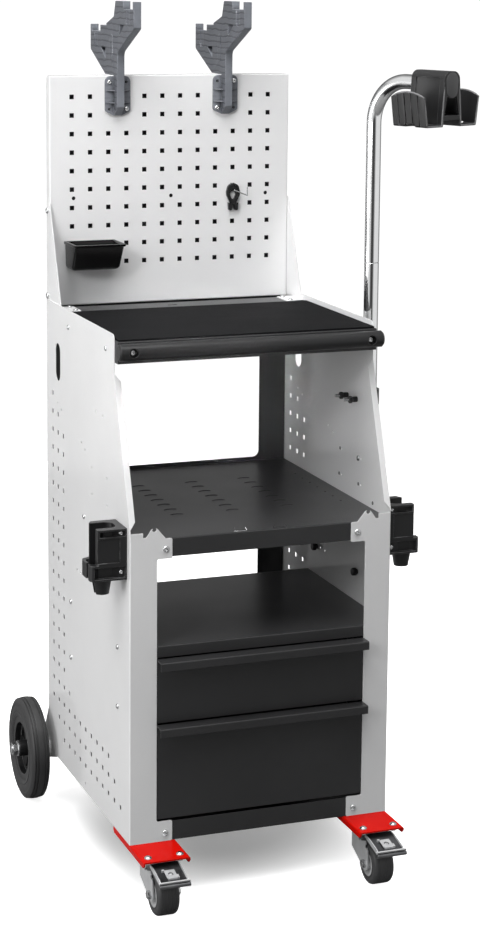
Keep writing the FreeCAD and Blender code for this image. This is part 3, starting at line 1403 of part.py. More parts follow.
def pole_head():
    """Cradle with a trough on each side of the block that holds the tube."""
    t = HEAD_WALL
    d0 = HEAD_FROM
    d1 = d0 + HEAD_LEN
    fl = -HEAD_FLOOR
    lean = (HEAD_OUT_TOP - HEAD_OUT_LOW) / (HEAD_FLOOR - HEAD_RIM)
    top_out = HEAD_OUT_TOP + lean * HEAD_RIM
    right = [(HEAD_HALF, HEAD_TOP, HEAD_HALF - t), (HEAD_FOOT_HALF + t, fl + t, t),
             (HEAD_OUT_LOW - t, fl + t, t), (top_out - t, 0), (top_out, 0), (HEAD_OUT_LOW, fl, t),
             (HEAD_FOOT_HALF, fl), (HEAD_FOOT_HALF - t, -HEAD_BRIDGE_LOW)]
    left = [(-p[0], p[1]) + tuple(p[2:]) for p in reversed(right)]
    body = slab(right + left, head_section(d0), scaled(ARM, HEAD_LEN))
    inner = HEAD_HALF - t
    low = HEAD_FOOT_HALF - t
    tunnel = slab([(inner - t, -POLE_R / 2), (low, -HEAD_BRIDGE_TOP), (-low, -HEAD_BRIDGE_TOP),
                   (t - inner, -POLE_R / 2)], head_section(d0 - OVERRUN),
                  scaled(ARM, HEAD_LEN + OVERRUN - HEAD_END_WALL))
    mouth = slab([(inner - t, -HEAD_MOUTH_TOP), (low, -HEAD_BRIDGE_TOP), (-low, -HEAD_BRIDGE_TOP),
                  (t - inner, -HEAD_MOUTH_TOP)], head_section(d1 - 2 * HEAD_END_WALL),
                 scaled(ARM, 3 * HEAD_END_WALL))
    bore_end = d1 - HEAD_END_WALL + SEAT_FIT
    bore = rod(POLE_R + SEAT_FIT, arm_point(d0 - OVERRUN, 0, 0), arm_point(bore_end, 0, 0))
    cut = [tunnel, mouth, bore]
    mid = d0 + HEAD_LEN / 2
    w = HEAD_NOTCH_W / 2
    pitch = HEAD_LEN / (HEAD_GROOVES + 1)
    g = HEAD_GROOVE_DEPTH
    for s in (-1, 1):
        cut.append(head_crest(s))
        start = s * (HEAD_FOOT_HALF + HEAD_OUT_LOW) / 2
        end = s * top_out
        cut.append(slab([(mid - w, start), (mid + w, start), (mid + w, end), (mid - w, end)],
                        lambda d, a: arm_point(d, a, fl - OVERRUN), V(0, 0, 2 * t)))
        for k in range(HEAD_GROOVES):
            at = head_section(d0 + (k + 1) * pitch - HEAD_GROOVE_W / 2)
            cut.append(slab([(s * (HEAD_OUT_LOW - g), fl), (s * (top_out - g), 0), (s * (top_out + g), 0),
                             (s * (HEAD_OUT_LOW + g), fl)], at, scaled(ARM, HEAD_GROOVE_W)))
        c = HEAD_COLLAR
        cut.append(slab([(s * (HEAD_HALF - HEAD_RECESS), HEAD_TOP / 2), (s * HEAD_OUT_LOW / 2, HEAD_TOP / 2),
                         (s * HEAD_OUT_LOW / 2, t + fl), (s * (HEAD_FOOT_HALF + t - HEAD_RECESS), t + fl)],
                        head_section(d0 + c), scaled(ARM, HEAD_LEN - 2 * c)))
    return body.cut(cut)


parts["pole_lower"] = pole_lower()
parts["pole_upper"] = pole_upper()
parts["pole_clamp"] = pole_clamp()
parts["clamp_bolts"] = clamp_bolts()
parts["pole_head"] = pole_head()


# side screws, front bolts, gusset bolts

def panel_screws():
    out = [small_screw(V(-HALF, y, z), V(-1, 0, 0)) for y, z in side_screw_spots()]
    for y in tab_screw_ys():
        out.append(small_screw(V(-TAB_SCREW_X, y, TOP_SHELF_Z + SHEET), V(0, 0, 1)))
    return pair(out)


def frame_bolts():
    out = [frame_bolt(V(-EAR_BOLT_X, FRONT_Y, z), V(0, -1, 0)) for z in (EAR_BOLT_Z, FOOT_BOLT_Z)]
    out += [frame_bolt(V(-BETWEEN, GUSSET_BOLT_Y, z), V(-1, 0, 0)) for z in gusset_bolt_heights()]
    return pair(out)


parts["panel_screws"] = panel_screws()
parts["frame_bolts"] = frame_bolts()


# red caster plates, casters

def caster_plate(x):
    h = CPLATE_W / 2
    z = PANEL_BOTTOM
    t = CPLATE_T
    low = z - CPLATE_FLANGE
    y0, y1 = CPLATE_FRONT, CPLATE_REAR
    body = box(x - h, x + h, y0, y1, low, z)
    body = rounded(body, CPLATE_EDGE_R, lambda c, e: near(c.z, z) and near(abs(c.x - x), h))
    cut = [box(x - h + t, x + h - t, y0 - OVERRUN, y1 + OVERRUN, low - OVERRUN, z - t)]
    for bx, by in caster_bolt_spots(x):
        cut.append(rod_z(CASTER_HOLE_R, bx, by, low, z + OVERRUN))
    for y, k in ((y0, 1), (y1, -1)):
        cut.append(slab([(y - k * OVERRUN, low - OVERRUN), (y + k * CPLATE_CHAMFER, low - OVERRUN),
                         (y - k * OVERRUN, low + CPLATE_CHAMFER)], yz(x - h - OVERRUN),
                        V(CPLATE_W + 2 * OVERRUN, 0, 0)))
    return body.cut(cut)


def caster_base(x):
    """Mounting plate with the race and the king pin in one piece."""
    top = BASE_TOP
    low = top - BASE_T
    w = BASE_W / 2
    n = BASE_LEN / 2
    r = BASE_CORNER_R
    plate = slab([(x - w, CASTER_Y - n, r), (x + w, CASTER_Y - n, r), (x + w, CASTER_Y + n, r),
                  (x - w, CASTER_Y + n, r)], xy(low), V(0, 0, BASE_T))
    race_low = FORK_TOP + FIT
    pin_low = FORK_TOP - CROWN_T - FIT
    race = turned([(low, 0), (low, RACE_R - RACE_TAPER), (race_low + RACE_TAPER, RACE_R), (race_low, RACE_R),
                   (race_low, KING_R), (pin_low, KING_R), (pin_low, KING_HEAD_R),
                   (pin_low - KING_HEAD_H, KING_HEAD_R), (pin_low - KING_HEAD_H, 0)],
                  V(x, CASTER_Y, 0), V(0, 0, 1))
    holes = [rod_z(CASTER_HOLE_R, bx, by, low - OVERRUN, top + OVERRUN) for bx, by in caster_bolt_spots(x)]
    return joined([plate, race]).cut(holes)


def caster_bolts():
    out = []
    under = BASE_TOP - BASE_T
    for x, y in caster_bolt_spots(-CPLATE_X):
        seat = PANEL_BOTTOM + (SHEET if y > SHELF_FRONT else 0)
        length = seat - under + CASTER_NUT_H - OVERRUN
        bolt = domed(V(x, y, seat), V(0, 0, 1), length, CASTER_BOLT_HEAD_R, CASTER_BOLT_HEAD_H,
                     CASTER_BOLT_R)
        nut = hexbar(CASTER_NUT_W, V(x, y, under), V(x, y, under - CASTER_NUT_H))
        out.append(joined([bolt, nut]))
    return pair(out)


def caster_fork(x):
    g = FORK_GAP / 2
    o = FORK_HALF
    cy, cz = CASTER_AXLE_Y, CASTER_AXLE_Z
    rear = CASTER_Y + FORK_REAR
    front = CASTER_Y - FORK_FRONT
    crown_front = CASTER_Y - CROWN_FRONT
    on_front = tangent(front, FORK_FRONT_Z, cy, cz, FORK_BOSS_R, 1)
    on_rear = tangent(rear, FORK_REAR_Z, cy, cz, FORK_BOSS_R, -1)
    low = polar(cy, cz, FORK_BOSS_R, -90)
    run = [on_rear, (rear, FORK_REAR_Z), (rear, FORK_TOP), (crown_front, FORK_TOP),
           (front, FORK_FRONT_Z), on_front]
    legs = []
    for s in (-1, 1):
        at = yz(x + s * g)
        edges = [Part.makeLine(at(*run[i]), at(*run[i + 1])) for i in range(len(run) - 1)]
        edges.append(Part.Arc(at(*on_front), at(*low), at(*on_rear)).toShape())
        legs.append(Part.Face(Part.Wire(edges)).extrude(V(s * FORK_T, 0, 0)))
    crown = box(x - o, x + o, crown_front, rear, FORK_TOP - CROWN_T, FORK_TOP)
    body = joined(legs + [crown])
    body = rounded(body, FORK_T - FIT, lambda c, e: near(abs(c.x - x), o) and near(c.z, FORK_TOP))
    x0 = x - o - OVERRUN
    x1 = x + o + OVERRUN
    cut = [rod_z(KING_R + RUN_FIT, x, CASTER_Y, FORK_TOP - CROWN_T - OVERRUN, FORK_TOP + OVERRUN),
           rod_x(CASTER_AXLE_R + SEAT_FIT, x0, x1, cy, cz),
           rod_x(PEDAL_PIN_R + SEAT_FIT, x0, x1, PEDAL_AXIS_Y, PEDAL_PIVOT_Z),
           rod_x(FORK_HOLE_R, x0, x1, CASTER_Y - FORK_HOLE_Y, FORK_HOLE_Z)]
    return body.cut(cut)


def caster_pins(x):
    """Axle bolt with head and nut, and the pedal's pivot pin."""
    o = FORK_HALF
    n = CASTER_AXLE_NUT_H
    cy, cz = CASTER_AXLE_Y, CASTER_AXLE_Z
    axle = [rod_x(CASTER_AXLE_R, x - o - n, x + o + n + OVERRUN, cy, cz)]
    for s in (-1, 1):
        axle.append(hexbar(CASTER_AXLE_NUT_W, V(x + s * o, cy, cz), V(x + s * (o + n), cy, cz)))
    reach = PEDAL_HALF + PEDAL_PIN_PROUD
    pin = rod_x(PEDAL_PIN_R, x - reach, x + reach, PEDAL_AXIS_Y, PEDAL_PIVOT_Z)
    return Part.makeCompound([joined(axle), pin])


def caster_tyre(x):
    w = CASTER_W / 2
    r = CASTER_R
    c = CASTER_SHOULDER
    half = [(w, CASTER_HUB_R), (w, r - c), (w - c / 3, r - c / 3), (w - c, r)]
    ring = [(-a, b) for a, b in half] + [(a, b) for a, b in reversed(half)]
    return turned(ring, V(x, CASTER_AXLE_Y, CASTER_AXLE_Z), V(1, 0, 0))


def caster_hub(x):
    w = CASTER_W / 2
    g = FORK_GAP / 2 - FIT
    bore = CASTER_AXLE_R + RUN_FIT
    dish = w - CASTER_HUB_DISH
    lip = CASTER_HUB_R - CASTER_HUB_DISH
    half = [(g, bore), (g, CASTER_BOSS_R), (dish, CASTER_BOSS_R), (dish, lip - CASTER_HUB_DISH), (w, lip),
            (w, CASTER_HUB_R)]
    ring = [(-a, b) for a, b in half] + [(a, b) for a, b in reversed(half)]
    return turned(ring, V(x, CASTER_AXLE_Y, CASTER_AXLE_Z), V(1, 0, 0))


def brake_pedal(x):
    """Foot plate with side cheeks that turn on the pivot pin, and a rolled front edge."""
    h = PEDAL_HALF
    t = PEDAL_T
    y0, z0 = CASTER_Y - PEDAL_REAR, PEDAL_REAR_Z
    y1, z1 = CASTER_Y - PEDAL_FRONT, PEDAL_FRONT_Z
    plate = slab([(y0, z0), (y1, z1), (y1, z1 - t), (y0, z0 - t)], yz(x - h), V(2 * h, 0, 0))
    over = h + PEDAL_LIP_OVER
    roll = rod_x(PEDAL_LIP_R, x - over, x + over, y1 - PEDAL_LIP_R / 2, z1 - PEDAL_LIP_R)
    py, pz = PEDAL_AXIS_Y, PEDAL_PIVOT_Z
    e = PEDAL_EAR_R
    cheeks = []
    for s in (-1, 1):
        cheeks.append(slab([(py + e, pz - e, e - FIT), (py + e, pz + e, e - FIT), (y0, z0), (y1, z1),
                            (y1, z1 - PEDAL_SIDE_H), (y0 - e, z0 - t - PEDAL_SIDE_H)],
                           yz(x + s * (h - t)), V(s * t, 0, 0)))
    body = joined([plate, roll] + cheeks)
    return body.cut(rod_x(PEDAL_PIN_R + RUN_FIT, x - h - OVERRUN, x + h + OVERRUN, py, pz))


for name, x in (("left", -CPLATE_X), ("right", CPLATE_X)):
    parts["caster_plate_" + name] = caster_plate(x)
    parts["caster_base_" + name] = caster_base(x)
    parts["caster_fork_" + name] = caster_fork(x)
    parts["caster_pins_" + name] = caster_pins(x)
    parts["caster_tyre_" + name] = caster_tyre(x)
    parts["caster_hub_" + name] = caster_hub(x)
    parts["brake_pedal_" + name] = brake_pedal(x)
parts["caster_bolts"] = caster_bolts()


# rear axle and wheels

def rear_tyre():
    """Right wheel's tyre with circumferential ribs."""
    w = WHEEL_W / 2
    r = WHEEL_R
    rib = TYRE_RIB / 2
    floor = r - TYRE_GROOVE_DEPTH
    edge = r - TYRE_CROWN_DROP
    wall = r - TYRE_SHOULDER_DROP - TYRE_SHOULDER * 2
    half = [(w - TYRE_WALL_IN, RIM_R), (w, RIM_R + TYRE_BEAD), (w, wall),
            (w - TYRE_SHOULDER / 2, r - TYRE_SHOULDER_DROP), (w - TYRE_SHOULDER, edge),
            (rib + TYRE_GROOVE, edge), (rib + TYRE_GROOVE, floor), (rib, floor), (rib, r)]
    ring = [(-a, b) for a, b in half] + [(a, b) for a, b in reversed(half)]
    return turned(ring, V(WHEEL_X, AXLE_Y, AXLE_Z), V(1, 0, 0))


def rear_rim():
    """Right wheel's rim: dished ring, spokes and hub."""
    w = WHEEL_W / 2
    bore = AXLE_R + RUN_FIT
    web = RIM_WEB_T / 2
    seat = w - TYRE_WALL_IN - FIT
    inside = RIM_R - RIM_LIP
    end = w + HUB_PROUD
    half = [(end, bore), (end, HUB_R), (web, HUB_R), (web, inside), (seat, inside), (seat, RIM_R)]
    ring = [(-a, b) for a, b in half] + [(a, b) for a, b in reversed(half)]
    body = turned(ring, V(WHEEL_X, AXLE_Y, AXLE_Z), V(1, 0, 0))
    step = 360.0 / SPOKES
    near_r = HUB_R + SPOKE_FILLET
    far_r = inside - SPOKE_FILLET / 2
    cut = []
    for k in range(SPOKES):
        t0 = step * k + SPOKE_HALF_ANGLE
        t1 = step * (k + 1) - SPOKE_HALF_ANGLE
        corners = [(near_r, t0 + SPOKE_FLARE), (far_r, t0), (far_r, t1), (near_r, t1 - SPOKE_FLARE)]
        points = [polar(AXLE_Y, AXLE_Z, r, t) + (SPOKE_FILLET,) for r, t in corners]
        cut.append(slab(points, yz(WHEEL_X - w), V(WHEEL_W, 0, 0)))
    return body.cut(cut)


def axle_spacer():
    """Collar that holds a wheel off its side panel."""
    x1 = WHEEL_X - WHEEL_W / 2 - HUB_PROUD - FIT
    body = rod_x(SPACER_R, HALF, x1, AXLE_Y, AXLE_Z)
    return body.cut(rod_x(AXLE_R + SEAT_FIT, HALF - OVERRUN, x1 + OVERRUN, AXLE_Y, AXLE_Z))


def axle_nut():
    x0 = NUT_START
    x1 = x0 + AXLE_WASHER_T
    x2 = x1 + AXLE_NUT_H
    washer = rod_x(AXLE_WASHER_R, x0, x1, AXLE_Y, AXLE_Z)
    nut = hexbar(AXLE_NUT_W, V(x1, AXLE_Y, AXLE_Z), V(x2, AXLE_Y, AXLE_Z))
    return joined([washer, nut]).cut(rod_x(AXLE_R + SEAT_FIT, x0 - OVERRUN, x2 + OVERRUN, AXLE_Y, AXLE_Z))


parts["rear_tyre_right"] = rear_tyre()
parts["rear_rim_right"] = rear_rim()
parts["rear_tyre_left"] = mirrored(rear_tyre())
parts["rear_rim_left"] = mirrored(rear_rim())
parts["rear_axle"] = rod_x(AXLE_R, -AXLE_END, AXLE_END, AXLE_Y, AXLE_Z)
parts["axle_spacers"] = pair([axle_spacer()])
parts["axle_nuts"] = pair([axle_nut()])

# origin: centre of the whole outline on the floor

span = FreeCAD.BoundBox()
for shape in parts.values():
    span.add(shape.BoundBox)
SHIFT = V(-span.Center.x, -span.Center.y, -span.ZMin)
os.makedirs("parts", exist_ok=True)
for name, shape in parts.items():
    shape.translate(SHIFT)
    shape.exportStep("parts/" + name + ".step")
print("shift", SHIFT.x, SHIFT.y, SHIFT.z, "nodes", len(parts))
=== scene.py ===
"""Looks of the dent repair tool trolley: finishes, fasteners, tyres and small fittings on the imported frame."""
import json
import math

import bmesh
import bpy
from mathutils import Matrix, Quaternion, Vector


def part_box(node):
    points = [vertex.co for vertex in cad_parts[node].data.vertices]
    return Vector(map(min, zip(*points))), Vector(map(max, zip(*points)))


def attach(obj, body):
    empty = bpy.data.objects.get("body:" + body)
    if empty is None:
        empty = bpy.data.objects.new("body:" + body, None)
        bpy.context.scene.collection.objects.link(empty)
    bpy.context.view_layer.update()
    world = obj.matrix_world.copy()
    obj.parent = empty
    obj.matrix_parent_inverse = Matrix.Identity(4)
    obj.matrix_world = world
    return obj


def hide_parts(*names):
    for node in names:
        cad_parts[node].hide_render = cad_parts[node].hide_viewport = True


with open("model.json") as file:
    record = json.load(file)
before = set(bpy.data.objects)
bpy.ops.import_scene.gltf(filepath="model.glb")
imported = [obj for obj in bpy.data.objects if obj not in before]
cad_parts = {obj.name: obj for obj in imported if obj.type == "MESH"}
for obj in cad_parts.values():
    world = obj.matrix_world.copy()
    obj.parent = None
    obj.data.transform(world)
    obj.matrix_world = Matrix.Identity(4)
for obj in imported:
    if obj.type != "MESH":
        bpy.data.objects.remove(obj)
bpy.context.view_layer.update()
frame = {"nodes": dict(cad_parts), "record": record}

MM = 0.001
X_AXIS, Y_AXIS, Z_AXIS = Vector((1, 0, 0)), Vector((0, 1, 0)), Vector((0, 0, 1))

# The trolley's own zero: middle of the backboard's front face, on the floor.
board_low, board_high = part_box("backboard")
ZERO = Vector(((board_low.x + board_high.x) / 2, board_low.y, 0))


def at(x, y, z):
    """Point given in millimetres from the trolley's own zero."""
    return ZERO + Vector((x, y, z)) * MM


# Shader building

WHITE = (1.0, 1.0, 1.0, 1.0)
GRAIN_BAND, FINE_SHARE = (0.3, 0.7), 0.35
EDGE_TURN, EDGE_BREAK = (0.99, 0.78), (0.38, 0.62)
DUST_UPWARD, DUST_PATCH = (0.1, 0.9), (0.35, 0.75)
HOLLOW_SHADE_RANGE = (0.85, 0.4)
GROOVE_FLOOR = 0.05


def join(tree, source, target):
    tree.links.new(source, target)


def shader(tree, kind, inputs=None, **settings):
    """Shader node with its settings; each input takes a value or another node's output."""
    made = tree.nodes.new("ShaderNode" + kind)
    for key, value in settings.items():
        setattr(made, key, value)
    for key, value in (inputs or {}).items():
        if isinstance(value, bpy.types.NodeSocket):
            join(tree, value, made.inputs[key])
        else:
            made.inputs[key].default_value = value
    return made


def reckon(tree, operation, *terms):
    """Result of a sum on numbers or sockets."""
    return shader(tree, "Math", dict(enumerate(terms)), operation=operation).outputs["Value"]


def ranged(tree, value, low, high, to_low=0.0, to_high=1.0, **settings):
    """Value carried over from one range to another."""
    inputs = {"Value": value, "From Min": low, "From Max": high, "To Min": to_low, "To Max": to_high}
    return shader(tree, "MapRange", inputs, **settings).outputs["Result"]


def noise(tree, scale, detail, rough=0.5):
    """Noise over the piece's own coordinates."""
    place = shader(tree, "TexCoord").outputs["Object"]
    inputs = {"Vector": place, "Scale": scale, "Detail": detail, "Roughness": rough}
    return shader(tree, "TexNoise", inputs).outputs["Fac"]


def facing(tree, axis):
    """How far the surface looks along an axis."""
    normal = shader(tree, "NewGeometry").outputs["Normal"]
    return shader(tree, "SeparateXYZ", {"Vector": normal}).outputs[axis]


def either(tree, choice, plain, chosen):
    """Shader that goes from plain to chosen with a mask."""
    return shader(tree, "MixShader", {"Fac": choice, 1: plain, 2: chosen}).outputs["Shader"]


def effect(name, inputs, outputs):
    """Empty shader group with float inputs and named outputs."""
    tree = bpy.data.node_groups.new(name, "ShaderNodeTree")
    for label, value in inputs.items():
        tree.interface.new_socket(label, in_out="INPUT", socket_type="NodeSocketFloat").default_value = value
    for label, kind in outputs.items():
        tree.interface.new_socket(label, in_out="OUTPUT", socket_type="NodeSocket" + kind)
    return tree, tree.nodes.new("NodeGroupInput").outputs, tree.nodes.new("NodeGroupOutput").inputs


def grain_effect():
    """Fine grain of a coat or a moulding, with a slow drift in shade over the piece."""
    tree, given, made = effect("grain", {"Grain": 900.0, "Drift": 6.0}, {"Height": "Float", "Shade": "Float"})
    fine = noise(tree, given["Grain"], 3.0, 0.6)
    slow = noise(tree, given["Drift"], 4.0, 0.55)
    shade = shader(tree, "Mix", {"Factor": FINE_SHARE, "A": slow, "B": fine})
    join(tree, fine, made["Height"])
    join(tree, shade.outputs["Result"], made["Shade"])
    return tree


def edge_effect():
    """Rounded edges: the softened normal, and a broken mask along the outer edges."""
    tree, given, made = effect("edges", {"Radius": 0.0008, "Breakup": 220.0}, {"Mask": "Float", "Normal": "Vector"})
    soft = shader(tree, "Bevel", {"Radius": given["Radius"]}, samples=6).outputs["Normal"]
    flat = shader(tree, "NewGeometry").outputs["Normal"]
    alike = shader(tree, "VectorMath", {0: soft, 1: flat}, operation="DOT_PRODUCT").outputs["Value"]
    broken = ranged(tree, noise(tree, given["Breakup"], 4.0), *EDGE_BREAK)
    join(tree, soft, made["Normal"])
    join(tree, reckon(tree, "MULTIPLY", ranged(tree, alike, *EDGE_TURN), broken), made["Mask"])
    return tree


def dust_effect():
    """Thin dust, in patches on the faces that look up."""
    tree, given, made = effect("dust", {"Patch": 40.0, "Amount": 0.3}, {"Mask": "Float"})
    upward = ranged(tree, facing(tree, "Z"), *DUST_UPWARD)
    patch = ranged(tree, noise(tree, given["Patch"], 6.0, 0.65), *DUST_PATCH)
    spread = reckon(tree, "MULTIPLY", upward, patch)
    join(tree, reckon(tree, "MULTIPLY", spread, given["Amount"]), made["Mask"])
    return tree


def hollow_shade_effect():
    """Mask for painted shade in pockets and inner corners that little light reaches."""
    tree, given, made = effect("painted_hollow_shade", {"Reach": 0.01}, {"Mask": "Float"})
    light = shader(tree, "AmbientOcclusion", {"Distance": given["Reach"]}, samples=8, only_local=True)
    join(tree, ranged(tree, light.outputs["AO"], *HOLLOW_SHADE_RANGE), made["Mask"])
    return tree


def lines_effect():
    """Lines across one direction, straight or wandering: print layers, mat ribs."""
    tree, given, made = effect("lines", {"Across X": 0.0, "Across Y": 0.0, "Across Z": 1.0, "Pitch": 0.0004,
                                         "Wander": 0.0, "Patch": 60.0, "Groove": 0.45, "Sides Only": 0.0},
                               {"Height": "Float", "Shade": "Float", "Side": "Float"})
    place = shader(tree, "TexCoord").outputs["Object"]
    split = shader(tree, "SeparateXYZ", {"Vector": place}).outputs
    total = reckon(tree, "MULTIPLY", noise(tree, given["Patch"], 2.0), given["Wander"])
    for axis in "XYZ":
        total = reckon(tree, "ADD", total, reckon(tree, "MULTIPLY", split[axis], given["Across " + axis]))
    count = reckon(tree, "DIVIDE", total, given["Pitch"])
    wave = reckon(tree, "PINGPONG", count, 0.5)
    height = ranged(tree, wave, GROOVE_FLOOR, given["Groove"], interpolation_type="SMOOTHSTEP")
    # Side: the faces that look along X, which a finish can give a painted shade.
    side = reckon(tree, "ABSOLUTE", facing(tree, "X"))
    plain = reckon(tree, "MULTIPLY", reckon(tree, "SUBTRACT", 1.0, side), given["Sides Only"])
    drift = shader(tree, "TexWhiteNoise", {"W": reckon(tree, "FLOOR", count)}, noise_dimensions="1D")
    join(tree, reckon(tree, "MAXIMUM", height, plain), made["Height"])
    join(tree, drift.outputs["Value"], made["Shade"])
    join(tree, side, made["Side"])
    return tree


GRAIN = grain_effect()
EDGES = edge_effect()
DUST = dust_effect()
HOLLOW_SHADE_GROUP = hollow_shade_effect()
LINES = lines_effect()


class Finish:
    """Material of one finish, built up from the shared effects: edged, then grained, then the others."""

    def __init__(self, name, dark, light, rough, metal=0.0, specular=0.5):
        self.material = bpy.data.materials.new(name)
        self.material.use_nodes = True
        self.tree = self.material.node_tree
        self.body = self.tree.nodes["Principled BSDF"]
        self.body.inputs["Metallic"].default_value = metal
        self.body.inputs["Specular IOR Level"].default_value = specular
        self.dark, self.light, self.rough = dark, light, rough
        self.colour = self.normal = self.edge_wear_and_highlight = None

    def use(self, tree, **values):
        """Places a shared effect in this material."""
        inputs = {label.replace("_", " "): value for label, value in values.items()}
        return shader(self.tree, "Group", inputs, node_tree=tree).outputs

    def mixed(self, mask, under, over):
        """Colour that goes from under to over with a mask; each is a colour or a socket."""
        under, over = (c + (1.0,) if isinstance(c, tuple) else c for c in (under, over))
        inputs = {"Factor": mask, "A": under, "B": over}
        return shader(self.tree, "Mix", inputs, data_type="RGBA", clamp_factor=True).outputs["Result"]

    def tinted(self, mask, over):
        """Lays a colour over the one so far."""
        self.colour = self.mixed(mask, self.colour, over)
        return self

    def bump(self, height, depth):
        """Lays a height over the surface, depth in metres."""
        made = shader(self.tree, "Bump", {"Height": height, "Distance": depth, "Normal": self.normal})
        self.normal = made.outputs["Normal"]

    def edged(self, radius, edge_wear_and_highlight=None, breakup=220.0):
        """Soft edges, with another colour along them: a painted highlight, with some rubbed wear."""
        made = self.use(EDGES, Radius=radius, Breakup=breakup)
        self.normal = made["Normal"]
        if edge_wear_and_highlight is not None:
            self.edge_wear_and_highlight = made["Mask"], edge_wear_and_highlight
        return self

    def grained(self, grain, depth, drift=6.0):
        """Colour, roughness and fine bump from the grain."""
        made = self.use(GRAIN, Grain=grain, Drift=drift)
        shade = made["Shade"]
        self.colour = self.mixed(ranged(self.tree, shade, *GRAIN_BAND), self.dark, self.light)
        join(self.tree, ranged(self.tree, shade, *GRAIN_BAND, *self.rough), self.body.inputs["Roughness"])
        self.bump(made["Height"], depth)
        return self

    def dusty(self, amount, colour):
        return self.tinted(self.use(DUST, Amount=amount)["Mask"], colour)

    def hollowed(self, reach, colour):
        """Painted shade: a darker colour in pockets and inner corners."""
        return self.tinted(self.use(HOLLOW_SHADE_GROUP, Reach=reach)["Mask"], colour)

    def painted_dark_rim(self, start, end, colour):
        """Painted dark reflection where a round face turns away from the eye."""
        turned = shader(self.tree, "LayerWeight").outputs["Facing"]
        return self.tinted(ranged(self.tree, turned, start, end), colour)

    def lined(self, across, pitch, depth, shade=None, wander=0.0, patch=60.0):
        """Lines across a direction, with an own shade for each line."""
        made = self.use(LINES, Across_X=across[0], Across_Y=across[1], Across_Z=across[2], Pitch=pitch,
                        Wander=wander, Patch=patch)
        self.bump(made["Height"], depth)
        return self if shade is None else self.tinted(made["Shade"], shade)

    def layered_with_side_shade(self, pitch, depth, side, groove_shade, wander, patch):
        """Wandering level seams on the faces that look to the side; those faces take a darker colour as painted
        shade, and the seams a darker one still as painted shade in them.
        """
        made = self.use(LINES, Pitch=pitch, Wander=wander, Patch=patch, Groove=0.2, Sides_Only=1.0)
        self.bump(made["Height"], depth)
        self.tinted(made["Side"], side)
        self.colour = self.mixed(made["Height"], groove_shade, self.colour)
        return self

    def done(self):
        if self.edge_wear_and_highlight:
            self.tinted(*self.edge_wear_and_highlight)
        join(self.tree, self.colour, self.body.inputs["Base Color"])
        join(self.tree, self.normal, self.body.inputs["Normal"])
        return self.material


# The edge colour each finish gives to edged is a painted highlight along its edges, with some rubbed wear.
def white_coat():
    made = Finish("white_coat", (0.78, 0.78, 0.785), (0.83, 0.83, 0.832), (0.07, 0.12))
    return made.edged(0.0007, edge_wear_and_highlight=(0.9, 0.9, 0.9)).grained(700.0, 0.00003).done()


def dark_coat():
    made = Finish("dark_coat", (0.0225, 0.0225, 0.0233), (0.032, 0.032, 0.0332), (0.28, 0.38), specular=0.34)
    return made.edged(0.0008, edge_wear_and_highlight=(0.09, 0.09, 0.093)).grained(1500.0, 0.00009).done()


def red_coat():
    made = Finish("red_coat", (0.56, 0.004, 0.0015), (0.68, 0.006, 0.0025), (0.16, 0.24), specular=0.03)
    return made.edged(0.0009, edge_wear_and_highlight=(0.8, 0.09, 0.05)).grained(800.0, 0.00004).done()


def grey_print():
    made = Finish("grey_print", (0.16, 0.17, 0.192), (0.22, 0.232, 0.258), (0.36, 0.48), specular=0.35)
    made.edged(0.002, edge_wear_and_highlight=(0.4, 0.41, 0.44), breakup=30.0).grained(1300.0, 0.00006, drift=30.0)
    # The side and seam colours are painted shade.
    made.layered_with_side_shade(0.0125, 0.0005, (0.105, 0.111, 0.126), (0.055, 0.059, 0.07), 0.011, 24.0)
    made.lined((1.0, 0.0, 0.0), 0.0012, 0.0001)
    # Painted shade in the hook's pockets.
    return made.hollowed(0.014, (0.032, 0.034, 0.04)).done()


def black_plastic():
    made = Finish("black_plastic", (0.0105, 0.0105, 0.011), (0.0175, 0.0175, 0.0182), (0.28, 0.4), specular=0.3)
    made.edged(0.0018, edge_wear_and_highlight=(0.23, 0.23, 0.235), breakup=40.0).grained(1800.0, 0.00006)
    # Painted shade in the pockets and corners.
    return made.hollowed(0.012, (0.003, 0.003, 0.0031)).done()


# Plastic with much lighter edges: a painted highlight, with some rubbing.
def rubbed_and_edge_lit_plastic(name, tone):
    dark, light = (tone * 0.8, tone * 0.8, tone * 0.82), (tone * 1.15, tone * 1.15, tone * 1.17)
    made = Finish(name, dark, light, (0.34, 0.46), specular=0.3)
    made.edged(0.0008, edge_wear_and_highlight=(tone * 1.6, tone * 1.6, tone * 1.6), breakup=60.0)
    return made.grained(1500.0, 0.00005).done()


def bin_plastic():
    made = Finish("bin_plastic", (0.002, 0.002, 0.0021), (0.0045, 0.0045, 0.0047), (0.2, 0.3), specular=0.3)
    return made.edged(0.0012, edge_wear_and_highlight=(0.035, 0.035, 0.036), breakup=60.0).grained(1800.0, 0.00005).done()


def mat_rubber():
    made = Finish("mat_rubber", (0.007, 0.007, 0.0076), (0.012, 0.012, 0.0128), (0.55, 0.68), specular=0.015)
    made.edged(0.0006).grained(1200.0, 0.00008)
    made.lined((0.0, 1.0, 0.0), 0.0035, 0.0007, shade=(0.013, 0.013, 0.0137), wander=0.0012, patch=8.0)
    return made.done()


def tyre_rubber(name, tone):
    dark, light = (tone, tone, tone * 1.035), (tone * 1.9, tone * 1.9, tone * 1.96)
    made = Finish(name, dark, light, (0.42, 0.58), specular=0.4)
    made.edged(0.0008).grained(900.0, 0.00012)
    return made.dusty(0.22, (0.09, 0.088, 0.085)).done()


def hub_plastic():
    made = Finish("hub_plastic", (0.42, 0.425, 0.43), (0.52, 0.525, 0.53), (0.34, 0.46))
    return made.edged(0.0008).grained(900.0, 0.00006).done()


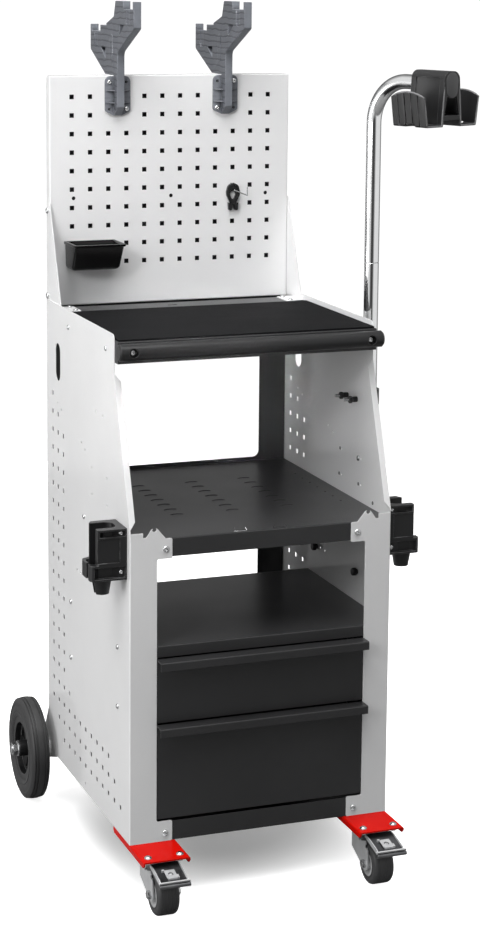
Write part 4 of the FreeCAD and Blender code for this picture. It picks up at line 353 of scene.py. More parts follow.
def bright_chrome():
    made = Finish("bright_chrome", (0.74, 0.745, 0.75), (0.82, 0.825, 0.83), (0.09, 0.15), metal=1.0)
    made.edged(0.0006).grained(260.0, 0.00001, drift=14.0)
    # Painted dark reflection along the pole's outline.
    return made.painted_dark_rim(0.38, 0.76, (0.13, 0.131, 0.135)).done()


def bright_zinc():
    made = Finish("bright_zinc", (0.47, 0.475, 0.48), (0.56, 0.565, 0.57), (0.2, 0.28), metal=1.0)
    return made.edged(0.0006).grained(420.0, 0.00003, drift=60.0).done()


def satin_zinc():
    made = Finish("satin_zinc", (0.55, 0.555, 0.565), (0.68, 0.685, 0.69), (0.36, 0.46), metal=0.35)
    return made.edged(0.0006).grained(420.0, 0.00003, drift=60.0).done()


def dark_zinc():
    made = Finish("dark_zinc", (0.085, 0.086, 0.09), (0.17, 0.172, 0.178), (0.28, 0.42), metal=1.0)
    return made.edged(0.0012, edge_wear_and_highlight=(0.6, 0.6, 0.61), breakup=90.0).grained(500.0, 0.00004, drift=40.0).done()


FINISHES = {
    "white_coat": white_coat(), "dark_coat": dark_coat(), "red_coat": red_coat(),
    "grey_plastic": grey_print(), "black_plastic": black_plastic(), "bin_plastic": bin_plastic(),
    "rim_highlight_plastic": rubbed_and_edge_lit_plastic("rim_highlight_plastic", 0.17), "plug_plastic": rubbed_and_edge_lit_plastic("plug_plastic", 0.078),
    "hub_plastic": hub_plastic(), "mat_rubber": mat_rubber(),
    "tyre_rubber": tyre_rubber("tyre_rubber", 0.019), "caster_rubber": tyre_rubber("caster_rubber", 0.034),
    "bright_chrome": bright_chrome(), "bright_zinc": bright_zinc(), "dark_zinc": dark_zinc(),
    "satin_zinc": satin_zinc(),
}


def dress(obj, slot):
    obj.data.materials.clear()
    obj.data.materials.append(FINISHES[slot])


for subpart in frame["record"]["subparts"]:
    dress(frame["nodes"][subpart["node"]], subpart["material_slot"])
for side in ("left", "right"):
    dress(frame["nodes"]["caster_fork_" + side], "satin_zinc")
    # The red plates throw no red light on the parts next to them.
    red_plate = frame["nodes"]["caster_plate_" + side]
    red_plate.visible_diffuse = False
    red_plate.visible_glossy = False


# Mesh building

SHARP_ANGLE, SOFT_ANGLE, FLAT_ANGLE = 35.0, 40.0, 1.0
BEVEL_SEGMENTS, SOFT_SEGMENTS = 2, 3
WELD_DIST = 0.000002
POINT_DIGITS = 6
BEAD_STEPS, BEAD_END = 8, 0.45
HEXAGON = 6


def reworked(mesh, change):
    """Runs a change on the editable form of a mesh and writes it back."""
    work = bmesh.new()
    work.from_mesh(mesh)
    change(work)
    work.to_mesh(mesh)
    work.free()
    return mesh


def faced_out(mesh):
    """Turns all faces of a closed mesh outwards."""
    return reworked(mesh, lambda work: bmesh.ops.recalc_face_normals(work, faces=work.faces))


def welded(node):
    """Copy of a CAD node's mesh with its split points joined."""
    return reworked(frame["nodes"][node].data.copy(),
                    lambda work: bmesh.ops.remove_doubles(work, verts=work.verts, dist=WELD_DIST))


def placed(name, data):
    """New object in the scene."""
    obj = bpy.data.objects.new(name, data)
    bpy.context.scene.collection.objects.link(obj)
    return obj


def object_of(name, points, faces):
    mesh = bpy.data.meshes.new(name)
    mesh.from_pydata(points, [], faces)
    mesh.update()
    return placed(name, faced_out(mesh))


def rounded(obj, width, segments, angle):
    """Rounds the edges sharper than an angle in degrees; width in millimetres."""
    rounding = obj.modifiers.new("rounded_edges", "BEVEL")
    rounding.width = width * MM
    rounding.segments = segments
    rounding.limit_method = "ANGLE"
    rounding.angle_limit = math.radians(angle)


def settle(obj, body, slot, stands_for=(), sharp=SHARP_ANGLE, finish=None):
    """Finish, body and smooth shading of a new piece; finish names one that differs from its slot's."""
    obj.data.shade_smooth()
    obj.data.set_sharp_from_angle(angle=math.radians(sharp))
    dress(obj, finish or slot)
    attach(obj, body)
    if stands_for:
        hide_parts(*stands_for)
    return obj


def piece(name, points, faces, body, slot, stands_for=(), sharp=SHARP_ANGLE, bevel=0.0, finish=None):
    """Mesh piece that rides on a body in one of the record's finishes; bevel in millimetres."""
    obj = object_of(name, points, faces)
    if bevel:
        rounded(obj, bevel, BEVEL_SEGMENTS, sharp)
    return settle(obj, body, slot, stands_for, sharp, finish)


def softened(name, node, body, slot, width):
    """Copy of a CAD node with its edges rounded, in millimetres."""
    obj = placed(name, reworked(welded(node), lambda work: bmesh.ops.dissolve_limit(
        work, angle_limit=math.radians(FLAT_ANGLE), verts=work.verts, edges=work.edges)))
    rounded(obj, width, SOFT_SEGMENTS, SOFT_ANGLE)
    return settle(obj, body, slot, [node], sharp=SOFT_ANGLE)


def carved(name, node, cutters):
    """Copy of a CAD node with pockets cut in it."""
    rough = placed(name + "_rough", welded(node))
    tools = [object_of("%s_tool_%d" % (name, k), *cutter) for k, cutter in enumerate(cutters)]
    for tool in tools:
        cut = rough.modifiers.new("pocket", "BOOLEAN")
        cut.operation = "DIFFERENCE"
        cut.solver = "EXACT"
        cut.object = tool
    seen = bpy.context.evaluated_depsgraph_get()
    mesh = bpy.data.meshes.new_from_object(rough.evaluated_get(seen))
    for each in [rough] + tools:
        bpy.data.objects.remove(each)
    mesh.name = name
    return placed(name, mesh)


def prism(outline, place, depth):
    """Solid between an outline and its copy moved by depth; place turns a pair into a point."""
    first = [place(a, b) for a, b in outline]
    return skin([first, [p + depth for p in first]])


def hoop(centre, first, second, radius, steps, corners=0):
    """Points round a centre in the plane of two directions; with corners they lie on a polygon of that apothem."""
    made = []
    for k in range(steps):
        angle = 2 * math.pi * k / steps
        reach = radius
        if corners:
            sector = 2 * math.pi / corners
            reach /= math.cos((angle + sector / 2) % sector - sector / 2)
        made.append(centre + (first * math.cos(angle) + second * math.sin(angle)) * reach)
    return made


def ring(centre, axis, radius, steps, corners=0):
    """Points round an axis."""
    first = axis.orthogonal().normalized()
    return hoop(centre, first, axis.cross(first).normalized(), radius, steps, corners)


def skin(rings, closed=False):
    """Faces between rings of equal count; the two ends are capped unless the rings close on themselves."""
    steps = len(rings[0])
    points = [p for r in rings for p in r]
    faces = []
    count = len(rings)
    for i in range(count if closed else count - 1):
        a, b = i * steps, (i + 1) % count * steps
        for k in range(steps):
            n = (k + 1) % steps
            faces.append((a + k, a + n, b + n, b + k))
    if not closed:
        faces.append(tuple(reversed(range(steps))))
        faces.append(tuple(range((count - 1) * steps, count * steps)))
    return points, faces


def merged(solids):
    """Several (points, faces) in one list."""
    points, faces = [], []
    for more, sides in solids:
        start = len(points)
        points += more
        faces += [tuple(start + k for k in side) for side in sides]
    return points, faces


def islands(node):
    """Separate solids of a CAD node, each as a list of points."""
    mesh = frame["nodes"][node].data
    spots = {}
    group = []

    def root(k):
        while group[k] != k:
            group[k] = group[group[k]]
            k = group[k]
        return k

    index = []
    for v in mesh.vertices:
        key = tuple(round(c, POINT_DIGITS) for c in v.co)
        if key not in spots:
            spots[key] = len(group)
            group.append(len(group))
        index.append(spots[key])
    for side in mesh.polygons:
        first = root(index[side.vertices[0]])
        for k in side.vertices[1:]:
            group[root(index[k])] = first
    found = {}
    for key, k in spots.items():
        found.setdefault(root(k), []).append(Vector(key))
    return list(found.values())


def span(points):
    """Lowest and highest corner of some points."""
    low = Vector([min(p[k] for p in points) for k in range(3)])
    high = Vector([max(p[k] for p in points) for k in range(3)])
    return low, high


def bead(line, radius, beside=Z_AXIS):
    """Round bead, thin at its ends, along a line of points that never runs along the direction beside it."""
    rings = []
    for k, spot in enumerate(line):
        along = (line[min(k + 1, len(line) - 1)] - line[max(k - 1, 0)]).normalized()
        across = along.cross(beside).normalized()
        thick = radius * MM * (BEAD_END if k in (0, len(line) - 1) else 1.0)
        rings.append(hoop(spot, across, across.cross(along), thick, BEAD_STEPS))
    return skin(rings)


# Socket screws: the tables hold shares of the head's height, and of its radius or its socket's

HEAD_STEPS = 24
SOCKET_SHARE = 0.46
TIP_SHARE, TIP_LENGTH = 0.8, 0.4
HEAD_NEAR = 0.97
DOME = ((0.0, 1.0), (0.30, 1.0), (0.45, 0.985), (0.66, 0.91), (0.84, 0.78), (0.95, 0.66), (1.0, 0.56))
SOCKET_WALL = ((0.99, 1.06), (0.9, 1.0), (0.3, 1.0))
SOCKET_FLOOR = ((0.12, 0.2),)


def socket_screw(seat, out, head_r, head_h, shank_r, length):
    """Domed screw with a hexagon socket, from its tip to the floor of the socket."""
    rings = [ring(seat - out * length, out, shank_r * TIP_SHARE, HEAD_STEPS),
             ring(seat - out * (length - shank_r * TIP_LENGTH), out, shank_r, HEAD_STEPS),
             ring(seat, out, shank_r, HEAD_STEPS)]
    key = head_r * SOCKET_SHARE
    for table, radius, corners in ((DOME, head_r, 0), (SOCKET_WALL, key, HEXAGON), (SOCKET_FLOOR, key, 0)):
        for rise, share in table:
            rings.append(ring(seat + out * (head_h * rise), out, radius * share, HEAD_STEPS, corners))
    return skin(rings)


def screw_at(seat, out, sizes):
    """Socket screw from the radius and height of its head, its shank's radius and its length, in millimetres."""
    return socket_screw(seat, out, *(size * MM for size in sizes))


def screw_of(points, shank_share):
    """Socket screw in the place of a plain one, told from its points: the head is at its wide end."""
    low, high = span(points)
    size = high - low
    k = max(range(3), key=lambda i: size[i])
    axis = (X_AXIS, Y_AXIS, Z_AXIS)[k]
    middle = (low + high) / 2
    others = [i for i in range(3) if i != k]
    head_r = size[others[0]] / 2
    wide = [p[k] for p in points if max(abs(p[i] - middle[i]) for i in others) > head_r * HEAD_NEAR]
    start, end = min(wide), max(wide)
    out = axis if abs(high[k] - end) < abs(start - low[k]) else -axis
    seat = middle.copy()
    seat[k] = start if out[k] > 0 else end
    top = high[k] if out[k] > 0 else low[k]
    tip = low[k] if out[k] > 0 else high[k]
    return socket_screw(seat, out, head_r, abs(top - seat[k]), head_r * shank_share, abs(seat[k] - tip))


SHANK_SHARES = {"panel_screws": 0.48, "frame_bolts": 0.484, "hook_screws": 0.48, "handle_screws": 0.46}
for node, share in SHANK_SHARES.items():
    points, faces = merged([screw_of(found, share) for found in islands(node)])
    piece(node.replace("_", "_socket_"), points, faces, "frame", "bright_zinc", [node])


# Tyres

TYRE_STEPS = 128
TYRE_SHARP = 28.0


def tyre(name, node, body, half_profile, finish):
    """Tyre turned from half its section, given as shares of half the width and radii in millimetres."""
    low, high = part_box(node)
    centre = (low + high) / 2
    half = (high.x - low.x) / 2
    section = [(-share, radius) for share, radius in half_profile]
    section += [(share, radius) for share, radius in reversed(half_profile)]
    rings = [ring(centre + X_AXIS * (share * half), X_AXIS, radius * MM, TYRE_STEPS)
             for share, radius in section]
    points, faces = skin(rings, closed=True)
    return piece(name, points, faces, body, "tyre_rubber", [node], sharp=TYRE_SHARP, finish=finish)


REAR_TYRE = ((0.85, 68.0), (0.9, 70.0), (0.93, 71.5), (0.98, 73.0), (1.0, 75.0), (1.0, 76.6), (0.95, 77.4),
             (0.95, 79.0), (0.985, 80.0), (0.985, 84.0), (0.97, 88.0), (0.94, 92.0), (0.94, 93.2), (0.985, 93.8),
             (0.985, 96.0), (0.95, 98.6), (0.90, 101.0), (0.83, 103.6), (0.78, 105.2), (0.74, 105.8),
             (0.70, 105.9), (0.68, 104.2), (0.60, 104.2), (0.58, 106.2), (0.48, 106.6), (0.46, 106.6),
             (0.44, 104.9), (0.30, 104.9), (0.28, 107.4), (0.14, 107.5))
CASTER_TYRE = ((1.0, 24.5), (1.0, 26.0), (0.96, 26.6), (0.96, 28.0), (1.0, 28.6), (1.0, 33.5), (0.985, 35.4),
               (0.94, 37.4), (0.86, 39.2), (0.77, 40.3), (0.68, 40.8), (0.56, 41.0), (0.54, 40.55), (0.50, 40.55),
               (0.48, 41.0), (0.20, 41.0), (0.18, 40.55), (0.14, 40.55), (0.12, 41.0))
for side in ("left", "right"):
    tyre("rear_tread_" + side, "rear_tyre_" + side, "rear_wheel_" + side, REAR_TYRE, "tyre_rubber")
    tyre("caster_tread_" + side, "caster_tyre_" + side, "caster_wheel_" + side, CASTER_TYRE, "caster_rubber")


# Dark sheet behind the holes of the backboard

BACKING_GAP = 0.1
BACKING_T = 1.0
BACKING_LIP = 3.0
BACKING_INSET = 2.5
BACKING_FOLD = 1.5
BACKING_FOOT = 1052.0


def backing_sheet():
    """Sheet on the rear of the board's folded rim, its edge turned back all round."""
    face = board_high.y + BACKING_GAP * MM
    thick, lip = BACKING_T * MM, BACKING_LIP * MM
    x0, x1 = board_low.x + BACKING_INSET * MM, board_high.x - BACKING_INSET * MM
    z0, z1 = BACKING_FOOT * MM, board_high.z - BACKING_INSET * MM

    def edge(inset, y):
        return [Vector((x0 + inset, y, z0 + inset)), Vector((x1 - inset, y, z0 + inset)),
                Vector((x1 - inset, y, z1 - inset)), Vector((x0 + inset, y, z1 - inset))]

    return skin([edge(thick, face), edge(0, face + thick), edge(0, face + lip), edge(thick, face + lip),
                 edge(thick * BACKING_FOLD, face + thick)])


piece("board_backing", *backing_sheet(), "frame", "dark_coat")


# Pole of two plugged tubes

POLE_X, POLE_Y = 300.5, -360.0
POLE_R, POLE_BORE = 14.5, 13.0
POLE_FOOT, POLE_JOINT, SPIGOT_FOOT = 866.0, 1183.0, 1123.0
FOOT_DEPTH, FOOT_EDGE = 14.0, 0.4
JOINT_LOW, JOINT_HIGH, JOINT_EDGE, JOINT_PLAY = POLE_JOINT - 0.1, POLE_JOINT + 0.3, 0.8, 0.1
SPIGOT_R, SPIGOT_EDGE = POLE_BORE - 0.05, 1.0
POLE_BEND_R = 86.0
ARM_Z, ARM_END = 1545.5, 200.0
ARM_TURN = math.radians(22.0)
ARM = Vector((math.sin(ARM_TURN), -math.cos(ARM_TURN), 0))
ARM_SIDE = ARM.cross(Z_AXIS)
POLE_STEPS = 72
BEND_STEPS = 28


def tube_ring(centre, along, radius):
    """Ring square to a tube; the same start on every ring keeps the skin from twisting."""
    return hoop(centre, ARM_SIDE, ARM_SIDE.cross(along), radius * MM, POLE_STEPS)


def upright_rings(profile):
    """Rings on the upright pole from pairs of height and radius."""
    return [tube_ring(at(POLE_X, POLE_Y, z), Z_AXIS, r) for z, r in profile]


def lower_tube():
    return skin(upright_rings((
        (POLE_FOOT + FOOT_DEPTH, POLE_BORE), (POLE_FOOT, POLE_BORE), (POLE_FOOT, POLE_R - FOOT_EDGE),
        (POLE_FOOT + FOOT_EDGE, POLE_R), (JOINT_LOW - JOINT_EDGE, POLE_R), (JOINT_LOW, POLE_R - JOINT_EDGE),
        (JOINT_LOW, POLE_BORE + JOINT_PLAY))))


def upper_tube():
    rings = upright_rings((
        (SPIGOT_FOOT, POLE_BORE - SPIGOT_EDGE), (SPIGOT_FOOT + SPIGOT_EDGE, SPIGOT_R), (JOINT_HIGH, SPIGOT_R),
        (JOINT_HIGH, POLE_R - JOINT_EDGE), (JOINT_HIGH + JOINT_EDGE, POLE_R)))
    hub = at(POLE_X, POLE_Y, ARM_Z - POLE_BEND_R) + ARM * (POLE_BEND_R * MM)
    for k in range(BEND_STEPS + 1):
        turn = math.pi / 2 * k / BEND_STEPS
        spoke = Z_AXIS * math.sin(turn) - ARM * math.cos(turn)
        along = Z_AXIS * math.cos(turn) + ARM * math.sin(turn)
        rings.append(tube_ring(hub + spoke * (POLE_BEND_R * MM), along, POLE_R))
    rings.append(tube_ring(at(POLE_X, POLE_Y, ARM_Z) + ARM * (ARM_END * MM), ARM, POLE_R))
    return skin(rings)


piece("pole_tube_lower", *lower_tube(), "frame", "bright_chrome", ["pole_lower"])
piece("pole_tube_upper", *upper_tube(), "arm", "bright_chrome", ["pole_upper"])


# Parts bin

BIN_X = -177.5
BIN_HALF, BIN_HALF_LOW = 52.0, 51.0
BIN_BACK, BIN_DEPTH, BIN_DEPTH_LOW = -0.4, 80.0, 46.0
BIN_LOW, BIN_TOP = 1144.0, 1201.0
BIN_FOOT_R = 9.0
BIN_FOOT_STEPS = 6
BIN_WALL, BIN_RIM, BIN_RIM_H = 2.2, 3.0, 6.0
BIN_FRONT_R, BIN_BACK_R = 4.5, 1.5
BIN_EDGE, BIN_EASE = 0.8, 0.6
BIN_SHARP = 50.0
CORNER_STEPS = 6


def bin_ring(z, grow):
    """Outline of the bin at a height, with rounded corners; grow is how far it stands outside the wall."""
    share = (z - BIN_LOW) / (BIN_TOP - BIN_LOW)
    half = BIN_HALF_LOW + (BIN_HALF - BIN_HALF_LOW) * share + grow
    front = BIN_BACK - BIN_DEPTH_LOW - (BIN_DEPTH - BIN_DEPTH_LOW) * share - grow
    back = BIN_BACK + min(grow, 0.0)
    corners = ((-half, front, BIN_FRONT_R, 180), (half, front, BIN_FRONT_R, 270), (half, back, BIN_BACK_R, 0),
               (-half, back, BIN_BACK_R, 90))
    made = []
    for x, y, r, start in corners:
        middle_x = x + (r if x < 0 else -r)
        middle_y = y + (r if y == front else -r)
        for k in range(CORNER_STEPS + 1):
            turn = math.radians(start + 90 * k / CORNER_STEPS)
            made.append(at(BIN_X + middle_x + r * math.cos(turn), middle_y + r * math.sin(turn), z))
    return made


def parts_bin():
    turns = [math.radians(90 * k / BIN_FOOT_STEPS) for k in range(BIN_FOOT_STEPS + 1)]
    rings = [bin_ring(BIN_LOW + BIN_FOOT_R * (1 - math.cos(t)), BIN_FOOT_R * (math.sin(t) - 1)) for t in turns]
    lip = BIN_TOP - BIN_RIM_H
    for z, grow in ((lip, 0.0), (lip + BIN_EDGE, BIN_RIM - BIN_EASE), (lip + 2 * BIN_EDGE, BIN_RIM),
                    (BIN_TOP - BIN_EDGE, BIN_RIM), (BIN_TOP, BIN_RIM - BIN_EDGE), (BIN_TOP, BIN_EASE - BIN_WALL),
                    (BIN_TOP - BIN_EDGE, -BIN_WALL)):
        rings.append(bin_ring(z, grow))
    for t in reversed(turns):
        rings.append(bin_ring(BIN_LOW + BIN_WALL + BIN_FOOT_R * (1 - math.cos(t)),
                              BIN_FOOT_R * (math.sin(t) - 1) - BIN_WALL))
    return skin(rings)


piece("moulded_bin", *parts_bin(), "frame", "black_plastic", ["parts_bin"], sharp=BIN_SHARP, finish="bin_plastic")


# Tool clip: a ring with a drop-shaped window and two legs; a row of its section is an outline, a depth and a growth

CLIP_X, CLIP_RING_Z = 136.5, 1289.0
CLIP_BACK, CLIP_FRONT, CLIP_WEB = -0.4, -8.3, -5.5
CLIP_STEPS = 40
CLIP_RIM = ((0, 14.6), (35, 16.5), (62, 21.0), (90, 23.0), (118, 21.0), (145, 16.5), (180, 14.6), (215, 14.2),
            (242, 17.0), (262, 23.0), (270, 23.5), (278, 23.0), (298, 17.0), (325, 14.2), (360, 14.6))
CLIP_WINDOW = ((0, 5.8), (90, 5.2), (180, 5.8), (225, 6.6), (262, 10.6), (270, 11.2), (278, 10.6), (315, 6.6),
               (360, 5.8))
CLIP_SECTION = ((CLIP_RIM, CLIP_BACK, 0.0), (CLIP_RIM, CLIP_FRONT + 1.2, 0.0), (CLIP_RIM, CLIP_FRONT, -1.2),
                (CLIP_RIM, CLIP_FRONT, -2.8), (CLIP_RIM, CLIP_WEB, -3.2), (CLIP_WINDOW, CLIP_WEB, 0.8),
                (CLIP_WINDOW, CLIP_BACK, 0.0))
CLIP_LEG = ((-11.0, 1271.0), (-3.0, 1268.0), (-2.4, 1262.0), (-3.4, 1255.0), (-7.0, 1254.2), (-10.0, 1255.4))
CLIP_SHARP = 40.0


def reach_at(table, turn):
    """Radius in a table of pairs of degrees and millimetres, straight between its rows."""
    (a, low), (b, high) = next(rows for rows in zip(table, table[1:]) if rows[0][0] <= turn <= rows[1][0])
    return low + (high - low) * (turn - a) / (b - a)


def clip_ring(table, y, grow):
    made = []
    for k in range(CLIP_STEPS):
        turn = 360.0 * k / CLIP_STEPS
        reach = reach_at(table, turn) + grow
        angle = math.radians(turn)
        made.append(at(CLIP_X + reach * math.cos(angle), y, CLIP_RING_Z + reach * math.sin(angle)))
    return made


def tool_clip():
    """Ring hollowed round its window, and two legs below."""
    solids = [skin([clip_ring(*row) for row in CLIP_SECTION], closed=True)]
    for side in (-1, 1):
        solids.append(prism(CLIP_LEG, lambda x, z: at(CLIP_X + side * x, CLIP_BACK, z),
                            Y_AXIS * ((CLIP_FRONT - CLIP_BACK) * MM)))
    return merged(solids)


piece("clip_body", *tool_clip(), "frame", "black_plastic", ["tool_clip"], sharp=CLIP_SHARP, finish="bin_plastic")


# Tool holders with pocketed bands

PANEL_OUT = 265.0
HOLDER_FACE, HOLDER_SHARP = -538.0, 14.0
POCKETS = ((714.5, 725.5, 53.0), (635.0, 656.5, 63.0))
POCKET_NEAR = ((3, -3), (3, 4.5), (16, 5), (27, 9))
POCKET_FAR = ((-10, 9), (0, 1.5), (0, -3))
HOLDER_SCREW = (4.0, 2.6, 2.0, 7.0)
HOLDER_SCREW_OUT, HOLDER_SCREW_SEAT = 11.0, -533.2
HOLDER_SCREW_SPOTS = (720.0, 645.5)


def pocket_tool(side, low, high, reach):
    """Pocket in the front face of a holder's band, deepest under its middle."""
    outline = POCKET_NEAR + tuple((reach + u, y) for u, y in POCKET_FAR)
    return prism(outline, lambda u, y: at(side * (PANEL_OUT + u), HOLDER_FACE + y, low),
                 Z_AXIS * ((high - low) * MM))


holder_screws = []
for name, side in (("left", -1), ("right", 1)):
    holder = carved("tool_holder_" + name, "holder_" + name, [pocket_tool(side, *spec) for spec in POCKETS])
    settle(holder, "frame", "black_plastic", ["holder_" + name], sharp=HOLDER_SHARP)
    for z in HOLDER_SCREW_SPOTS:
        seat = at(side * (PANEL_OUT + HOLDER_SCREW_OUT), HOLDER_SCREW_SEAT, z)
        holder_screws.append(screw_at(seat, -Y_AXIS, HOLDER_SCREW))
piece("holder_socket_screws", *merged(holder_screws), "frame", "bright_zinc", ["holder_screws"])


# Backboard, closed where the hooks stand over its second row of square holes

CLOSED_ROW_Z = 1459.0
CLOSED_COLUMNS = (-136.5, -97.5, 97.5, 136.5)
SQUARE_REACH, SQUARE_SIDES = 4.85, 8
WALL_LEVEL = 0.5
BOARD_SHARP = 2.0


def close_squares(work):
    """Takes out the walls of the holes and fills both ends."""
    for x in CLOSED_COLUMNS:
        spot = at(x, 0, CLOSED_ROW_Z)
        walls = []
        for face in work.faces:
            away = face.calc_center_median() - spot
            if abs(face.normal.y) < WALL_LEVEL and max(abs(away.x), abs(away.z)) < SQUARE_REACH * MM:
                walls.append(face)
        rims = dict.fromkeys(edge for face in walls for edge in face.edges)
        bmesh.ops.delete(work, geom=walls, context="FACES")
        bmesh.ops.holes_fill(work, edges=[edge for edge in rims if edge.is_valid], sides=SQUARE_SIDES)


board_face = placed("board_face", faced_out(reworked(welded("backboard"), close_squares)))
settle(board_face, "frame", "white_coat", ["backboard"], sharp=BOARD_SHARP)


# Printed hooks and moulded cradle head with rounded edges; the plug is two arcs round the arm's end

HOOK_EDGE, HEAD_EDGE = 1.6, 1.0
for side in ("left", "right"):
    softened("board_hook_" + side, "hook_" + side, "frame", "grey_plastic", HOOK_EDGE)
softened("cradle_head", "pole_head", "arm", "black_plastic", HEAD_EDGE)

CRADLE_BACK, CRADLE_FRONT = 119.0, 205.0
CRADLE_LEAN, CRADLE_FOOT, CRADLE_FLOOR = 0.1429, 67.75, 80.5
CRADLE_RIM, CRADLE_SAG = -14.0, 10.5
CREST_STEPS = 10
TROUGH_EDGE = ((75.7, -25.5), (72.0, -50.0), (68.2, -76.5), (66.5, -78.7), (48.0, -78.8), (29.0, -78.7),
               (26.5, -77.0), (24.4, -50.0), (22.2, -22.0), (20.2, -4.0))
TROUGH_SETBACK = 0.5
TROUGH_BEAD_R, CREST_BEAD_R = 1.8, 2.1
PLUG = ((17.2, 6.0, 0, 180), (15.8, -11.0, 180, 360))
PLUG_STEPS = 14
PLUG_RINGS = ((-4.0, 0.4), (0.5, 0.4), (0.9, 1.2))


def on_arm(along, side, up):
    """Point in millimetres along the pole's arm, to its side and above its axis."""
    return at(POLE_X, POLE_Y, ARM_Z + up) + (ARM * along + ARM_SIDE * side) * MM


def plug_ring(along, inset):
    made = []
    for radius, up, start, end in PLUG:
        for k in range(PLUG_STEPS + 1):
            turn = math.radians(start + (end - start) * k / PLUG_STEPS)
            reach = radius - inset
            made.append(on_arm(along, reach * math.cos(turn), up + reach * math.sin(turn)))
    return made


cradle_rims = []
for side in (-1, 1):
    edge = [on_arm(CRADLE_FRONT - TROUGH_SETBACK, side * a, z) for a, z in TROUGH_EDGE]
    cradle_rims.append(bead(edge, TROUGH_BEAD_R, ARM))
    crest = []
    for k in range(CREST_STEPS + 1):
        share = 2 * k / CREST_STEPS - 1
        up = CRADLE_RIM - CRADLE_SAG * share * share
        out = CRADLE_FOOT + CRADLE_LEAN * (CRADLE_FLOOR + up)
        crest.append(on_arm(CRADLE_BACK + (CRADLE_FRONT - CRADLE_BACK) * k / CREST_STEPS, side * out, up))
    cradle_rims.append(bead(crest, CREST_BEAD_R, ARM_SIDE))
# The rims' light grey is a painted highlight on the black head's edges.
piece("cradle_rims", *merged(cradle_rims), "arm", "black_plastic", finish="rim_highlight_plastic")
plug = skin([plug_ring(CRADLE_FRONT + along, inset) for along, inset in PLUG_RINGS])
piece("cradle_plug", *plug, "arm", "black_plastic", finish="plug_plastic")


# Bolts and nuts of the pole clamp, and knobs, inserts and a screw inside the right panel

PANEL_IN = 263.5
CLAMP_LUG, CLAMP_BOLT = 277.0, (6.2, 4.0, 3.0, 41.0)
CLAMP_SPOTS = ((-383.0, 912.0), (-337.0, 912.0))
CLAMP_SPACER = ((0, 3.1), (0, 5.2), (0.6, 5.6), (10.4, 5.6), (11, 5.2), (11, 3.1))
CLAMP_NUT = ((11, 3.1), (11, 5.8), (11.6, 6.3), (17.4, 6.3), (18.2, 5.6), (18.2, 3.1))
KNOB_SPOTS = ((-398.0, 562.0), (-186.0, 560.0))
KNOB = ((0, 2.5), (0, 5.0), (2.5, 5.0), (3.0, 7.0), (4.0, 7.8), (10.0, 7.8), (11.5, 7.0), (12.0, 5.5), (11.6, 1.5))
KNOB_CORNERS = 10
CORNER_SHARP = 25.0
INSERT_SPOTS = ((-302.0, 795.5), (-299.0, 742.5), (-397.0, 742.0), (-469.0, 719.5))
INSERT = ((-1.0, 2.3), (0, 2.3), (0, 3.4), (0.5, 3.4), (0.7, 3.1), (0.7, 1.9), (-0.6, 1.7))
INNER_SCREW_SPOT, INNER_SCREW = (-396.0, 794.5), (5.6, 3.4, 2.5, 1.2)


def lathe(spot, profile, corners=0):
    """Turned or cornered solid on the inside of the right panel: pairs of distance from it and radius."""
    seat = at(PANEL_IN, *spot)
    return skin([ring(seat - X_AXIS * (along * MM), -X_AXIS, radius * MM, HEAD_STEPS, corners)
                 for along, radius in profile])


clamp_bolts, clamp_nuts = [], []
for spot in CLAMP_SPOTS:
    clamp_bolts.append(screw_at(at(CLAMP_LUG, *spot), X_AXIS, CLAMP_BOLT))
    clamp_nuts += [lathe(spot, CLAMP_SPACER), lathe(spot, CLAMP_NUT, HEXAGON)]
knobs = [lathe(spot, KNOB, KNOB_CORNERS) for spot in KNOB_SPOTS]
inserts = [lathe(spot, INSERT) for spot in INSERT_SPOTS]
inner_screw = screw_at(at(PANEL_IN, *INNER_SCREW_SPOT), -X_AXIS, INNER_SCREW)
piece("clamp_socket_bolts", *merged(clamp_bolts), "frame", "bright_zinc", ["clamp_bolts"])
piece("clamp_nuts", *merged(clamp_nuts), "frame", "black_plastic", sharp=CORNER_SHARP)
piece("inner_knobs", *merged(knobs), "frame", "black_plastic", sharp=CORNER_SHARP)
piece("panel_inserts", *merged(inserts), "frame", "black_plastic", finish="bin_plastic")
piece("inner_socket_screw", *inner_screw, "frame", "bright_zinc")


# Lips of the slots in the middle shelf, and its two catches

SHELF_Z = 708.0
SLOT_COLS, SLOT_PITCH, SLOT_SHIFT = 3, 115.0, -1.7
SLOT_ROWS, SLOT_FIRST, SLOT_STEP = 7, -140.5, 41.0
SLOT_HALF, SLOT_T, SLOT_SAG = 13.0, 3.0, 5.0
LIP_R, LIP_STEPS, LIP_BEHIND = 1.1, 10, 0.6
CATCH_R = 0.9
# The two catches are alike; the left one's bright zinc is a painted highlight, the right one has the shelf's dark
# coat.
CATCHES = (("left", -43.5, "bright_zinc"), ("right", 37.5, "dark_coat"))
CATCH_LOOP = ((-9, -540, 713.8), (-13.5, -546, 709.4), (-13, -548.5, 708.6), (11, -549.5, 708.6),
              (12.5, -547.5, 709.4), (10.5, -542, 713.8))

lips = []
for column in range(SLOT_COLS):
    for row in range(SLOT_ROWS):
        x = SLOT_SHIFT + (column - (SLOT_COLS - 1) / 2) * SLOT_PITCH
        y = SLOT_FIRST - row * SLOT_STEP - SLOT_T - LIP_R * LIP_BEHIND
        line = []
        for k in range(LIP_STEPS + 1):
            across = 2 * k / LIP_STEPS - 1
            line.append(at(x + across * SLOT_HALF, y + SLOT_SAG * (1 - across * across), SHELF_Z))
        lips.append(bead(line, LIP_R))
piece("slot_lips", *merged(lips), "frame", "dark_coat")
for name, middle, slot in CATCHES:
    loop = [at(middle + x, y, z) for x, y, z in CATCH_LOOP]
    piece("shelf_catch_" + name, *bead(loop, CATCH_R), "frame", slot)


